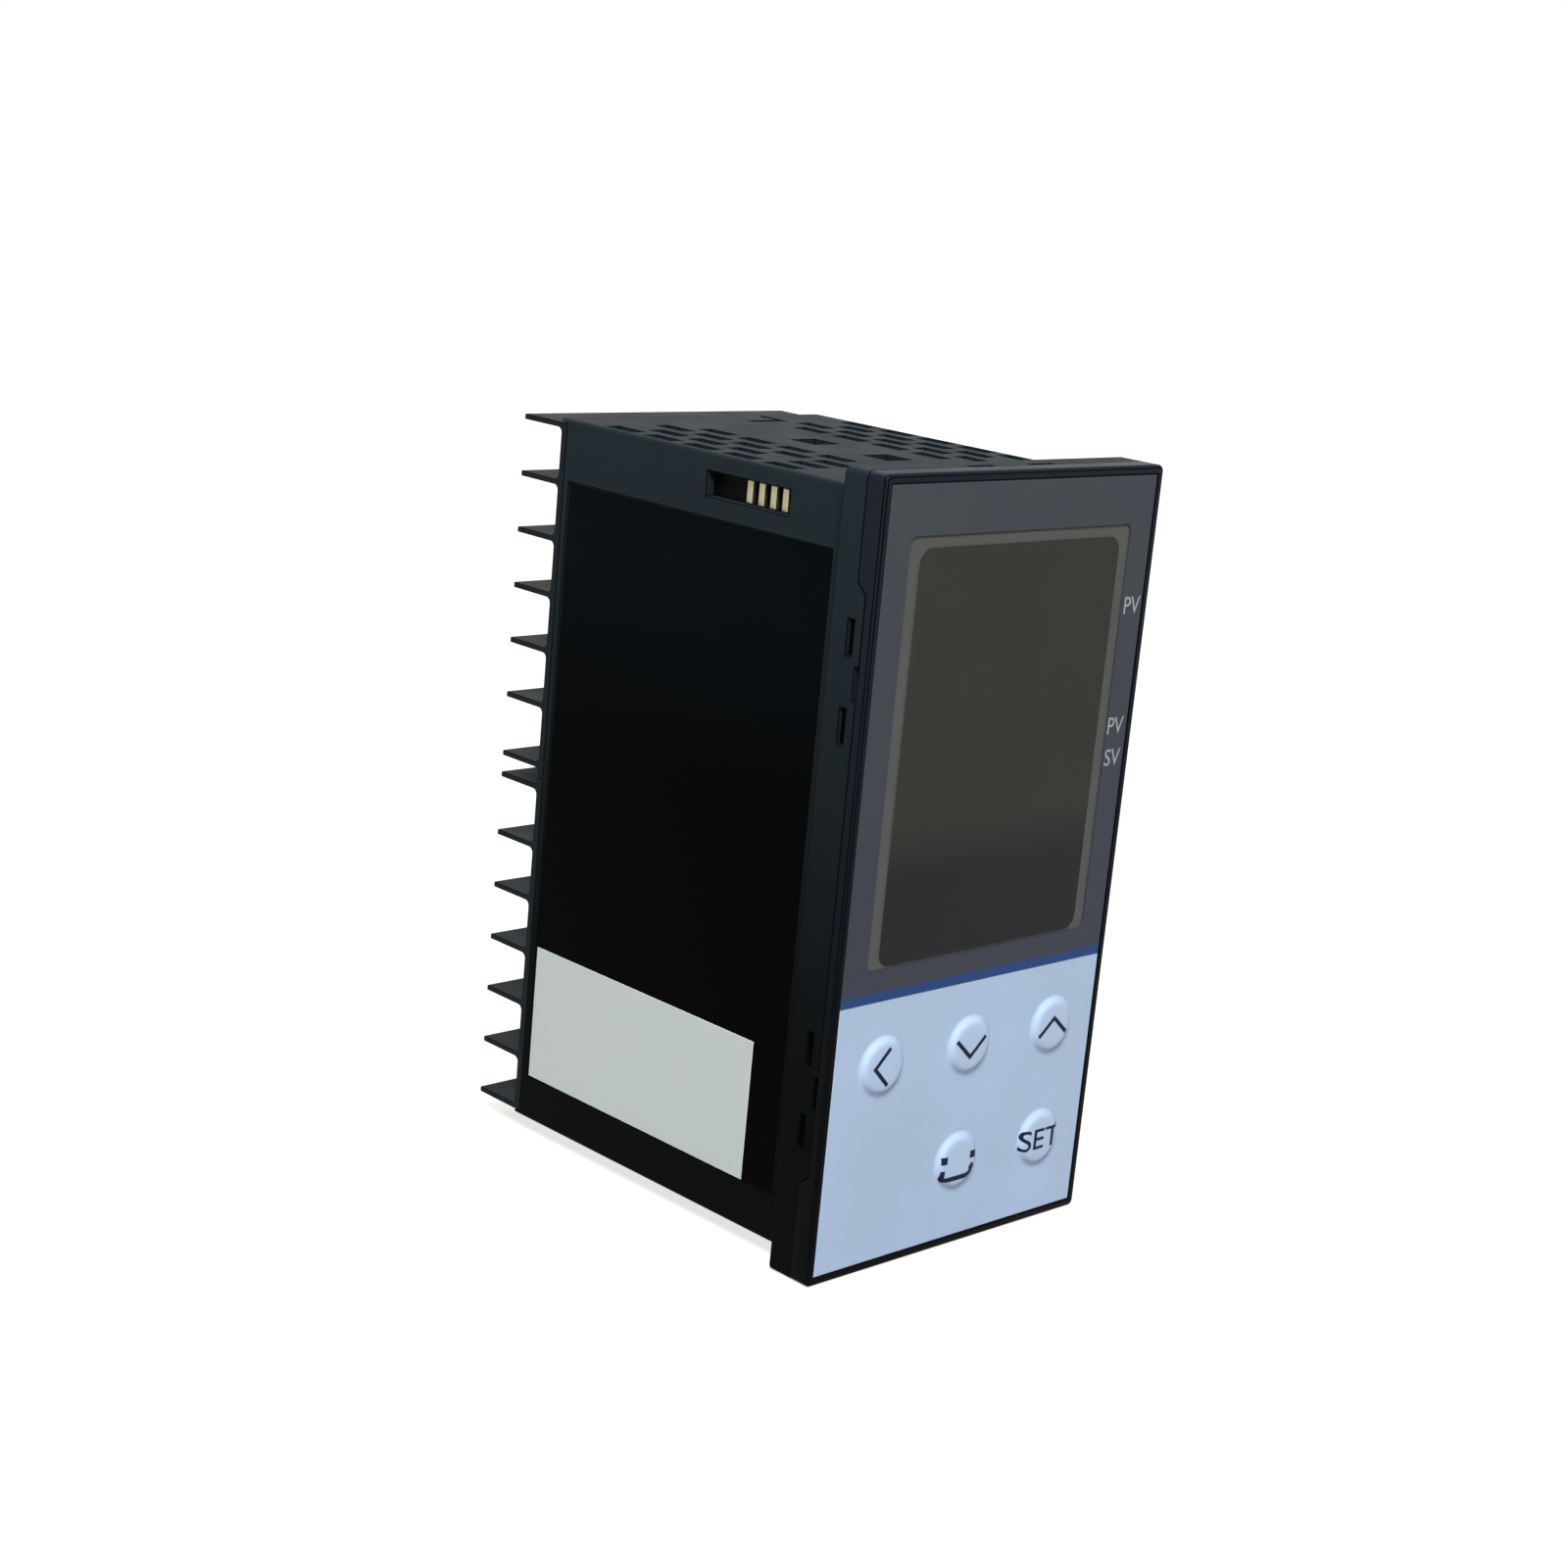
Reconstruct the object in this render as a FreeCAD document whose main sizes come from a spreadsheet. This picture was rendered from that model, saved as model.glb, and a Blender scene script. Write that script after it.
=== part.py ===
"""PID temperature controller for a 45 x 92 mm panel cut-out (48 x 96 mm front).

Frame: X to the right as the user faces the front, Y into the panel, Z up.
The origin is the centre of the cut-out, on the plane where the flange meets the panel.
All lengths are in millimetres. Every driving dimension is a cell of the sheet "sizes".
"""
import FreeCAD, Part
import math
import os
import re
import Sketcher
from FreeCAD import Placement, Rotation, Vector

doc = FreeCAD.newDocument("temperature_controller")

# ---------------------------------------------------------------- driving dimensions
# Name, value and meaning. A value that starts with "=" is worked out from the others.
SIZES = [
    # front
    ("bezel_width", 48.0, "front face, across"),
    ("bezel_height", 96.0, "front face, up"),
    ("bezel_depth", 2.9, "front frame, ahead of the seam"),
    ("bezel_corner", 0.8, "corner radius of the front outline"),
    ("bezel_bevel", 0.3, "bevel of the front rim"),
    ("flange_depth", 3.6, "case flange, from the seam to the panel"),
    ("rim", 1.05, "bare rim of the frame round the printed sheet"),
    ("sheet_thickness", 0.4, "printed sheet"),
    ("sheet_set_back", 0.1, "sheet face behind the rim"),
    ("spigot_wall", 0.9, "wall of the ring that enters the case"),
    ("spigot_length", 9.0, "reach of that ring behind the seam"),
    ("post_width", 3.0, "corner post that carries the display board, across"),
    ("post_height", 1.8, "corner post that carries the display board, up"),
    # display
    ("screen_side", 6.7, "raised dark field of the lens in from the front's side"),
    ("screen_drop", 8.4, "dark field below the front's top"),
    ("screen_rise", 38.6, "dark field above the front's foot"),
    ("screen_width", "=bezel_width - 2 * screen_side", "dark field, across"),
    ("screen_height", "=bezel_height - screen_drop - screen_rise", "dark field, up"),
    ("screen_level", "=(screen_rise - screen_drop) / 2", "centre of the dark field above the origin"),
    ("border_side", 1.8, "pale border beside the dark field"),
    ("border_top", 1.4, "pale border above the dark field"),
    ("border_foot", 0.4, "pale border below the dark field"),
    ("window_width", "=screen_width + 2 * border_side", "opening in sheet and frame, across"),
    ("window_height", "=screen_height + border_top + border_foot", "opening in sheet and frame, up"),
    ("window_level", "=screen_level + (border_top - border_foot) / 2", "centre of the opening"),
    ("window_corner", 1.0, "corner radius of the opening"),
    ("screen_corner", 1.8, "corner radius of the dark field"),
    ("screen_step", 0.15, "dark field ahead of its border"),
    ("screen_set_back", 0.15, "dark field behind the rim"),
    ("lens_flange", 0.7, "lens edge behind the frame, each side"),
    ("lens_rebate", 1.3, "depth of the seat for that edge"),
    ("cell_thickness", 2.8, "display cell"),
    ("cell_edge", 0.9, "display cell smaller than the opening, each side"),
    ("holder_edge", 0.3, "light guide frame larger than the opening, each side"),
    ("holder_wall", 1.6, "light guide frame"),
    # keys
    ("key_radius", 3.8, "round key pad, at the sheet"),
    ("key_top_radius", 3.0, "flat top of the pad"),
    ("key_proud", 0.75, "key pad ahead of the sheet"),
    ("key_gap", 0.1, "pad to hole, all round"),
    ("key_flange", 0.6, "retaining flange beyond the pad's radius"),
    ("key_flange_depth", 0.8, "thickness of the retaining flange"),
    ("key_travel", 0.3, "stroke of a key"),
    ("key_side", 8.95, "outer keys in from the front's side"),
    ("key_pitch", "=bezel_width / 2 - key_side", "key to key, across"),
    ("key_row_pitch", 15.0, "key to key, down"),
    ("key_row_rise", 26.2, "upper key row above the front's foot"),
    ("key_row_level", "=key_row_rise - bezel_height / 2", "upper key row above the origin"),
    ("switch_width", 6.0, "square switch housing"),
    ("switch_depth", 3.5, "switch housing off its board"),
    ("plunger_width", 3.0, "square moving stud of the switch"),
    ("plunger_gap", 0.15, "stud to housing, all round"),
    ("plunger_proud", 2.15, "stud ahead of its housing"),
    ("plunger_engaged", 1.5, "stud inside its housing"),
    ("plunger_spare", 0.2, "hole beyond the end of the pressed stud"),
    # case
    ("land_side", 1.9, "flange beyond the case, each side"),
    ("land_end", 2.25, "flange beyond the case, top and foot"),
    ("case_width", "=bezel_width - 2 * land_side", "behind the panel"),
    ("case_height", "=bezel_height - 2 * land_end", "behind the panel"),
    ("case_length", 51.6, "behind the panel, without the fins"),
    ("case_corner", 0.5, "outer corner radius"),
    ("case_wall", 1.4, "wall"),
    ("case_lip", 0.45, "thinned wall over the terminal blocks"),
    ("fit_gap", 0.1, "clearance between pieces that plug together"),
    ("seat_gap", 0.05, "clearance between a moving face and its stop"),
    ("tongue_length", 71.4, "raised tongue of the flange beside the frame"),
    ("tongue_reach", 1.4, "tongue ahead of the seam"),
    ("tongue_wall", 1.0, "tongue thickness"),
    ("release_length", 3.9, "release notch in the tongue"),
    ("release_depth", 0.6, "release notch in the tongue"),
    ("latch_level", 24.25, "middle of a latch pair above and below the origin"),
    ("latch_spacing", 10.1, "the two windows of a pair"),
    ("latch_spacing_top", 10.4, "the two windows above and below the front"),
    ("latch_length", 4.2, "latch window along the flange"),
    ("latch_width", 1.05, "latch window along the depth"),
    ("latch_ahead", 3.2, "latch window centre ahead of the panel face"),
    ("hook_height", 3.0, "snap hook off the ring"),
    # air slots and bracket holes, in the top and bottom walls
    ("slot_width", 2.2, "air slot, across"),
    ("slot_length", 5.0, "air slot, along the depth"),
    ("slot_pitch", 7.0, "slot to slot along the depth"),
    ("slot_column_pitch", 4.0, "column to column"),
    ("slot_side", 1.95, "outermost column in from the case's side"),
    ("slot_column", "=case_width / 2 - slot_side - 3 * slot_column_pitch", "first column from the middle"),
    ("slot_start", 13.75, "first slot centre behind the panel"),
    ("hook_hole", 4.3, "square bracket hole"),
    ("hook_hole_first", 16.85, "first bracket hole behind the panel"),
    ("hook_hole_pitch", 12.55, "hole to hole"),
    ("tab_slot_across", 10.5, "block release slot right of the middle"),
    ("tab_slot_start", 46.0, "release slot behind the panel"),
    ("tab_slot_width", 1.0, "release slot"),
    ("tab_slot_foot", 5.0, "foot of the release slot, across"),
    # sides
    ("recess_front", 2.6, "label recess behind the panel"),
    ("recess_rear", 2.1, "label recess ahead of the case's rear edge"),
    ("recess_top", 7.65, "label recess below the case's top"),
    ("recess_foot", 5.7, "label recess above the case's foot"),
    ("recess_depth", 0.4, "label recess"),
    ("label_thickness", 0.15, "glossy side label"),
    ("rating_length", 41.2, "pale label, along the depth"),
    ("rating_height", 17.6, "pale label, up"),
    ("rating_thickness", 0.1, "pale label"),
    ("socket_length", 14.2, "service socket window, along the depth"),
    ("socket_height", 3.0, "service socket window, up"),
    ("socket_start", 10.2, "window behind the panel"),
    ("socket_drop", 2.2, "window below the case's top"),
    ("contact_width", 1.3, "service contact"),
    ("contact_pitch", 2.0, "contact to contact"),
    ("contact_first", 1.6, "first contact centre from the window's front edge"),
    ("contact_depth", 0.7, "contact in the window"),
    ("contact_count", 4, "contacts"),
    # terminal blocks
    ("block_plate", 1.1, "base plate of a terminal block"),
    ("block_body", 7.0, "body of a block inside the case"),
    ("block_split", 0.3, "gap between the two blocks"),
    ("fin_reach", 7.3, "barrier fin behind the base plate"),
    ("fin_thickness", 0.7, "barrier fin"),
    ("fin_fillet", 0.7, "root of a fin"),
    ("inner_fin", 1.43, "innermost fin from the middle of the rear"),
    ("lowest_fin", 9.2, "next fin from the middle of the rear"),
    ("row_count", 6, "terminal rows in a block"),
    ("top_fin", "=case_height / 2 - case_lip - fit_gap - fin_thickness / 2", "outermost fin"),
    ("row_pitch", "=(top_fin - lowest_fin) / (row_count - 1)", "terminal row to row"),
    ("column_count", 3, "terminal columns in a block"),
    ("column_pitch", 14.2, "terminal column to column"),
    ("pocket_depth", 1.0, "terminal pocket in the base plate"),
    ("clamp_width", 6.6, "terminal plate and clamp washer, across"),
    ("clamp_height", 4.4, "terminal plate and clamp washer, up"),
    ("clamp_thickness", 0.8, "terminal plate and clamp washer"),
    ("screw_radius", 1.5, "terminal screw"),
    ("screw_length", 6.0, "terminal screw under its head"),
    ("head_radius", 2.7, "terminal screw head"),
    ("head_height", 2.0, "terminal screw head"),
    ("slot_in_head", 0.8, "driving slot of a screw head, across"),
    ("slot_in_head_depth", 1.0, "driving slot of a screw head"),
    ("thread_gap", 0.05, "hole in the terminal plate beyond the screw's radius"),
    ("bore_gap", 0.2, "bore of the block beyond the screw's radius"),
    ("bore_spare", 0.3, "bore of the block beyond the screw's tip"),
    # inside
    ("board", 1.6, "printed circuit board"),
    ("board_gap", 0.2, "board edge to the ring or wall"),
    ("board_inset", 3.9, "main and power board in from the case's side"),
    ("board_offset", "=case_width / 2 - board_inset", "main and power board from the middle"),
    ("guide_wall", 0.8, "rib beside a board"),
    ("guide_height", 2.4, "rib off the wall"),
    ("guide_start", 6.0, "rib behind the panel"),
    ("guide_length", 3.5, "rib along the depth"),
    ("header_width", 2.5, "plug strip, across"),
    ("header_length", 8.5, "plug strip, along the depth"),
    ("header_height", 25.0, "plug strip, up"),
    ("main_header_level", 0.0, "plug strips of the main board above the origin"),
    ("power_header_level", -24.5, "plug strips of the power board above the origin"),
    ("transformer_width", 16.0, "transformer core off its board"),
    ("transformer_length", 18.0, "transformer core, along the depth"),
    ("transformer_height", 22.0, "transformer core, up"),
    ("transformer_start", 14.0, "transformer behind the panel"),
    ("transformer_foot", -34.0, "underside of the transformer"),
    ("capacitor_radius", 6.0, "smoothing capacitor"),
    ("capacitor_length", 20.0, "smoothing capacitor off its board"),
    ("capacitor_behind", 22.0, "capacitor axis behind the panel"),
    ("capacitor_level", -2.0, "capacitor axis above the origin"),
    ("relay_width", 15.0, "output relay off its board"),
    ("relay_length", 10.0, "output relay, along the depth"),
    ("relay_height", 7.5, "output relay, up"),
    ("relay_start", 28.0, "relays behind the panel"),
    ("relay_foot", 8.0, "underside of the lowest relay"),
    ("relay_pitch", 9.5, "relay to relay"),
    ("relay_count", 3, "output relays"),
]

sheet = doc.addObject("Spreadsheet::Sheet", "sizes")
for row, (alias, value, note) in enumerate(SIZES, start=1):
    sheet.set(f"A{row}", str(value))
    sheet.setAlias(f"A{row}", alias)
    sheet.set(f"B{row}", note)
doc.recompute()

ALIAS = re.compile(r"\b(" + "|".join(name for name, _, _ in SIZES) + r")\b")
TOUCH = 0.01  # two places closer than this are the same place
SHANK_SIDES = 6  # sides that stand for the round shank of a terminal screw
HEAD_SIDES = 8  # sides that stand for its round head
FLANGE_SIDES = 12  # sides of a key's hidden flange and of its hole behind the sheet


def sized(text):
    """The text as a document expression: every size name is looked up in the sheet."""
    return ALIAS.sub(r"sizes.\1", str(text))


def value(text):
    """What an expression is worth now."""
    return float(sheet.evalExpression(str(text)))


def bind(item, **expressions):
    """Bind properties of an object to expressions."""
    for name, text in expressions.items():
        item.setExpression(name, sized(text))


def around(centre, width):
    """The two ends of a width laid evenly about a centre."""
    return f"({centre}) - ({width}) / 2", f"({centre}) + ({width}) / 2"


# ---------------------------------------------------------------- shared places
FRONT = "(0 - flange_depth - bezel_depth)"
SEAM = "(0 - flange_depth)"
SHEET_FACE = f"({FRONT} + sheet_set_back)"
SHEET_SEAT = f"({SHEET_FACE} + sheet_thickness)"
SCREEN_FACE = f"({FRONT} + screen_set_back)"
LENS_FACE = f"({SCREEN_FACE} + screen_step)"
INNER_X = "(case_width / 2 - case_wall)"
INNER_Z = "(case_height / 2 - case_wall)"
RING_OUT_X = f"({INNER_X} - fit_gap)"
RING_OUT_Z = f"({INNER_Z} - fit_gap)"
RING_IN_X = f"({RING_OUT_X} - spigot_wall)"
RING_IN_Z = f"({RING_OUT_Z} - spigot_wall)"
CELL_FRONT = f"({SEAM} + seat_gap)"
CELL_REAR = f"({CELL_FRONT} + cell_thickness)"
KEY_FACE = f"({SHEET_FACE} - key_proud)"
KEY_SEAT = f"({SEAM} + seat_gap)"
KEY_BACK = f"({KEY_SEAT} + key_flange_depth)"
SWITCH_FRONT = f"({KEY_BACK} + plunger_proud)"
PLUNGER_END = f"({SWITCH_FRONT} + plunger_engaged)"
BOARD_FRONT = f"({SWITCH_FRONT} + switch_depth)"
BOARD_REAR = f"({BOARD_FRONT} + board)"
BOARD_X = f"({RING_IN_X} - board_gap)"
BOARD_Z = f"({RING_IN_Z} - board_gap)"
PLATE_FRONT = "(case_length - block_plate)"
BLOCK_FRONT = f"({PLATE_FRONT} - block_body)"
BLOCK_TOP = "(case_height / 2 - case_lip - fit_gap)"
POCKET_FLOOR = "(case_length - pocket_depth)"
WASHER_FRONT = f"({POCKET_FLOOR} + clamp_thickness)"
HEAD_FRONT = f"({WASHER_FRONT} + clamp_thickness)"
SCREW_TIP = f"({HEAD_FRONT} - screw_length)"
LOWEST_ROW = "(lowest_fin - row_pitch / 2)"
FIRST_COLUMN = "(0 - (column_count - 1) / 2 * column_pitch)"
SIDES = {"left": "-1", "right": "1"}
WALLS = {"foot": "-1", "top": "1"}
KEYS = {
    "shift": ("0 - key_pitch", "key_row_level"),
    "down": ("0", "key_row_level"),
    "up": ("key_pitch", "key_row_level"),
    "user": ("0", "key_row_level - key_row_pitch"),
    "select": ("key_pitch", "key_row_level - key_row_pitch"),
}


# ---------------------------------------------------------------- sketch and feature helpers
def new_body(name, several=False):
    """An empty body; several lets it hold more than one solid."""
    piece = doc.addObject("PartDesign::Body", name)
    piece.AllowCompound = several
    return piece


def origin_feature(piece, role):
    """A base plane or axis of a body."""
    return next(item for item in piece.Origin.OriginFeatures if item.Role == role)


def sketch(piece, facing, at):
    """A sketch square to an axis of the body, at a place along that axis.

    Facing "y" draws across X and up Z, "x" draws along Y and up Z, "z" draws across X and along Y.
    """
    role = {"x": "YZ_Plane", "y": "XZ_Plane", "z": "XY_Plane"}[facing]
    drawn = piece.newObject("Sketcher::SketchObject", f"{piece.Name}_sketch")
    drawn.AttachmentSupport = (origin_feature(piece, role), [""])
    drawn.MapMode = "FlatFace"
    # The XZ plane's own normal points to -Y.
    offset = f"0 - ({at})" if facing == "y" else at
    drawn.setExpression("AttachmentOffset.Base.z", sized(offset))
    return drawn


def lock(drawn, edge, end, across, up):
    """Hold a point of a sketch at two expressions."""
    for kind, text in (("DistanceX", across), ("DistanceY", up)):
        rule = Sketcher.Constraint(kind, -1, 1, edge, end, value(text))
        number = drawn.addConstraint(rule)
        drawn.setExpression(f"Constraints[{number}]", sized(text))


def outline(drawn, corners):
    """A closed outline of straight lines, each corner held at its two expressions."""
    first = len(drawn.Geometry)
    points = [Vector(value(across), value(up), 0) for across, up in corners]
    for start, end in zip(points, points[1:] + points[:1]):
        drawn.addGeometry(Part.LineSegment(start, end))
    for number, (across, up) in enumerate(corners):
        following = first + (number + 1) % len(corners)
        drawn.addConstraint(Sketcher.Constraint("Coincident", first + number, 2, following, 1))
        lock(drawn, first + number, 1, across, up)


def rectangle(drawn, across, up):
    """A rectangle between two ends across and two ends up."""
    (left, right), (low, high) = across, up
    outline(drawn, [(left, low), (right, low), (right, high), (left, high)])


def circle(drawn, radius, across, up):
    """A circle held at its centre and radius."""
    centre = Vector(value(across), value(up), 0)
    number = drawn.addGeometry(Part.Circle(centre, Vector(0, 0, 1), value(radius)))
    rule = drawn.addConstraint(Sketcher.Constraint("Radius", number, value(radius)))
    drawn.setExpression(f"Constraints[{rule}]", sized(radius))
    lock(drawn, number, 3, across, up)


def regular(drawn, sides, radius, across, up):
    """A regular outline with a flat at the top; it stands for a circle where many are needed."""
    turns = [(number + 0.5) * math.tau / sides for number in range(sides)]
    outline(drawn, [(f"({across}) + ({radius}) * ({math.sin(turn):.6f})",
                     f"({up}) + ({radius}) * ({math.cos(turn):.6f})") for turn in turns])


def feature(piece, kind, drawn, length, toward):
    """A pad or pocket of a sketch; toward is +1 or -1 along the axis that the sketch faces."""
    made = piece.newObject(f"PartDesign::{kind}", f"{piece.Name}_{kind.lower()}")
    made.Profile = drawn
    drawn_along = -1 if drawn.AttachmentSupport[0][0].Role == "XZ_Plane" else 1
    if kind == "Pocket":
        drawn_along = -drawn_along
    made.Reversed = toward != drawn_along
    bind(made, Length=length)
    return made


def pad(piece, drawn, length, toward=1):
    """Material on a sketch."""
    return feature(piece, "Pad", drawn, length, toward)


def pocket(piece, drawn, length, toward=1):
    """A recess from a sketch, which has to take material away."""
    doc.recompute()
    before = piece.Tip.Shape.Volume
    made = feature(piece, "Pocket", drawn, length, toward)
    doc.recompute()
    if not made.Shape.Volume < before - TOUCH:
        raise RuntimeError(f"{made.Name} takes nothing away")
    return made


def runs_along(edge, axis):
    """Whether an edge is straight and runs along an axis."""
    size = edge.BoundBox
    spans = {"x": size.XLength, "y": size.YLength, "z": size.ZLength}
    across = [span for name, span in spans.items() if name != axis]
    return len(edge.Vertexes) == 2 and max(across) < TOUCH


def near(number, text):
    """Whether a number is where an expression says."""
    return abs(number - value(text)) < TOUCH


def dressed(piece, kind, test):
    """A fillet or chamfer on those edges of a body that pass a test."""
    doc.recompute()
    base = piece.Tip
    chosen = [f"Edge{k}" for k, edge in enumerate(base.Shape.Edges, start=1) if test(edge)]
    made = piece.newObject(f"PartDesign::{kind}", f"{piece.Name}_{kind.lower()}")
    made.Base = (base, chosen)
    return made


def fillet(piece, radius, test):
    """Round the edges that pass a test."""
    bind(dressed(piece, "Fillet", test), Radius=radius)


def bevel(piece, size, test):
    """Bevel the edges that pass a test."""
    bind(dressed(piece, "Chamfer", test), Size=size)


def corners(half_width, half_height, level="0"):
    """A test for edges along Y at the corners of a rectangle about X = 0."""
    def test(edge):
        middle = edge.CenterOfMass
        return (runs_along(edge, "y") and near(abs(middle.x), half_width)
                and near(abs(middle.z - value(level)), half_height))
    return test


def repeat(piece, originals, axis, span, count):
    """Repeat features along one axis of the body; span is the whole distance."""
    made = piece.newObject("PartDesign::LinearPattern", f"{piece.Name}_row")
    made.Originals = originals
    made.Direction = (origin_feature(piece, f"{axis}_Axis"), [""])
    bind(made, Length=span, Occurrences=count)
    piece.Tip = made
    return made


def repeat_on_terminals(piece, originals):
    """Repeat features of the lowest left terminal over all rows and columns of a block."""
    made = piece.newObject("PartDesign::MultiTransform", f"{piece.Name}_grid")
    made.Originals = originals
    steps = []
    for axis, pitch, count in (("X", "column_pitch", "column_count"), ("Z", "row_pitch", "row_count")):
        step = piece.newObject("PartDesign::LinearPattern", f"{piece.Name}_{axis.lower()}_step")
        step.Direction = (origin_feature(piece, f"{axis}_Axis"), [""])
        bind(step, Length=f"({count} - 1) * {pitch}", Occurrences=count)
        steps.append(step)
    made.Transformations = steps
    piece.Tip = made
    return made


# ---------------------------------------------------------------- primitive helpers
def box(name, across, along, up):
    """A block between two ends on each axis."""
    piece = doc.addObject("Part::Box", name)
    sides = (("Length", "x", across), ("Width", "y", along), ("Height", "z", up))
    for length, axis, (low, high) in sides:
        piece.setExpression(length, sized(f"({high}) - ({low})"))
        piece.setExpression(f"Placement.Base.{axis}", sized(low))
    return piece


def rod_across(name, radius, ends, along, up):
    """A cylinder along X between two ends."""
    piece = doc.addObject("Part::Cylinder", name)
    low, high = ends
    bind(piece, Radius=radius, Height=f"({high}) - ({low})")
    piece.Placement.Rotation = Rotation(Vector(0, 1, 0), 90)
    for axis, text in (("x", low), ("y", along), ("z", up)):
        piece.setExpression(f"Placement.Base.{axis}", sized(text))
    return piece


def cut(name, base, tool):
    """One primitive less another."""
    piece = doc.addObject("Part::Cut", name)
    piece.Base = base
    piece.Tool = tool
    return piece


def group(name, pieces):
    """Separate solids kept together as one node."""
    piece = doc.addObject("Part::Compound", name)
    piece.Links = pieces
    return piece


# ---------------------------------------------------------------- the case
def make_case():
    """A straight moulded tube with the panel flange at its front, open at both ends."""
    case = new_body("case")
    drawn = sketch(case, "y", SEAM)
    rectangle(drawn, around("0", "bezel_width"), around("0", "bezel_height"))
    pad(case, drawn, "flange_depth")
    fillet(case, "bezel_corner", corners("bezel_width / 2", "bezel_height / 2"))

    drawn = sketch(case, "y", "0")
    rectangle(drawn, around("0", "case_width"), around("0", "case_height"))
    pad(case, drawn, "case_length")
    fillet(case, "case_corner", corners("case_width / 2", "case_height / 2"))

    drawn = sketch(case, "y", SEAM)
    rectangle(drawn, around("0", f"2 * {INNER_X}"), around("0", f"2 * {INNER_Z}"))
    pocket(case, drawn, "flange_depth + case_length")

    add_tongues(case)
    add_latch_windows(case)
    thin_rear_edge(case)
    add_side_features(case)
    for wall, sign in WALLS.items():
        cut_end_wall(case, wall, sign)
    add_board_guides(case)
    return case


def tongue_outline(spare):
    """The tongue seen from the side, a spare width larger all round."""
    half = f"(tongue_length / 2 + {spare})"
    reach = f"({SEAM} - tongue_reach - {spare})"
    bevel = "tongue_reach"
    return [
        (SEAM, f"0 - {half}"),
        (reach, f"{bevel} - {half}"),
        (reach, f"{half} - {bevel}"),
        (SEAM, half),
    ]


def add_tongues(case):
    """Raised tongues beside the front frame, with a release notch in each end's edge."""
    for side, sign in SIDES.items():
        drawn = sketch(case, "x", f"{sign} * bezel_width / 2")
        outline(drawn, tongue_outline("0"))
        inward = -1 if side == "right" else 1
        pad(case, drawn, "tongue_wall", toward=inward)
        drawn = sketch(case, "x", f"{sign} * bezel_width / 2")
        for level in ("-1", "1"):
            edge = f"({SEAM} - tongue_reach)"
            rectangle(drawn, (f"{edge} - fit_gap", f"{edge} + release_depth"),
                      around(f"{level} * latch_level", "release_length"))
        pocket(case, drawn, "tongue_wall", toward=inward)


def latch_middles():
    """Heights of the four latch windows of a side."""
    return [f"{level} * latch_level + {end} * latch_spacing / 2" for level in (-1, 1) for end in (-1, 1)]


def add_latch_windows(case):
    """Windows through the flange for the snap hooks of the front frame."""
    middle = "0 - latch_ahead"
    for side, sign in SIDES.items():
        drawn = sketch(case, "x", f"{sign} * bezel_width / 2")
        for level in latch_middles():
            rectangle(drawn, around(middle, "latch_width"), around(level, "latch_length"))
        pocket(case, drawn, f"bezel_width / 2 - {INNER_X}", toward=-1 if side == "right" else 1)
    for wall, sign in WALLS.items():
        drawn = sketch(case, "z", f"{sign} * bezel_height / 2")
        for end in ("-1", "1"):
            rectangle(drawn, around(f"{end} * latch_spacing_top / 2", "latch_length"),
                      around(middle, "latch_width"))
        pocket(case, drawn, f"bezel_height / 2 - {INNER_Z}", toward=-1 if wall == "top" else 1)


def thin_rear_edge(case):
    """Side walls stop ahead of the terminal blocks; top and foot keep a thin lip over them."""
    drawn = sketch(case, "y", "case_length")
    rectangle(drawn, around("0", "case_width + 2 * case_wall"), around("0", "case_height - 2 * case_lip"))
    pocket(case, drawn, "block_plate", toward=-1)


def add_side_features(case):
    """A shallow label recess on both sides and the service socket's window on the left."""
    for side, sign in SIDES.items():
        drawn = sketch(case, "x", f"{sign} * case_width / 2")
        rectangle(drawn, ("recess_front", "case_length - recess_rear"),
                  ("recess_foot - case_height / 2", "case_height / 2 - recess_top"))
        pocket(case, drawn, "recess_depth", toward=-1 if side == "right" else 1)
    drawn = sketch(case, "x", "0 - case_width / 2")
    high = "case_height / 2 - socket_drop"
    rectangle(drawn, ("socket_start", "socket_start + socket_length"), (f"{high} - socket_height", high))
    pocket(case, drawn, "case_wall")


def cut_end_wall(case, wall, sign):
    """Staggered air slots, bracket holes and the block release slot in the top or foot."""
    outside = f"{sign} * case_height / 2"
    inward = -1 if wall == "top" else 1
    columns = [f"slot_column + {k} * slot_column_pitch" for k in range(4)]
    both_sides = [f"{end} * ({columns[k]})" for k in (1, 3) for end in (-1, 1)]
    # The socket stands under the front slot of the third column on the left, so that column
    # starts half a pitch ahead and skips one place.
    full = [f"({columns[0]})", f"-1 * ({columns[0]})", f"({columns[2]})"]
    short = [f"-1 * ({columns[2]})"]
    early = "slot_start"
    late = "slot_start + slot_pitch / 2"
    runs = ((both_sides, early, 5), (full, late, 4), (short, f"{late} + slot_pitch", 3), (short, early, 1))
    for places, start, count in runs:
        drawn = sketch(case, "z", outside)
        for across in places:
            rectangle(drawn, around(across, "slot_width"), around(start, "slot_length"))
        first = pocket(case, drawn, "case_wall", toward=inward)
        if count > 1:
            repeat(case, [first], "Y", f"{count - 1} * slot_pitch", str(count))

    drawn = sketch(case, "z", outside)
    for along in ("hook_hole_first", "hook_hole_first + hook_hole_pitch"):
        rectangle(drawn, around("0", "hook_hole"), around(along, "hook_hole"))
    outline(drawn, release_slot())
    pocket(case, drawn, "case_wall", toward=inward)


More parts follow.
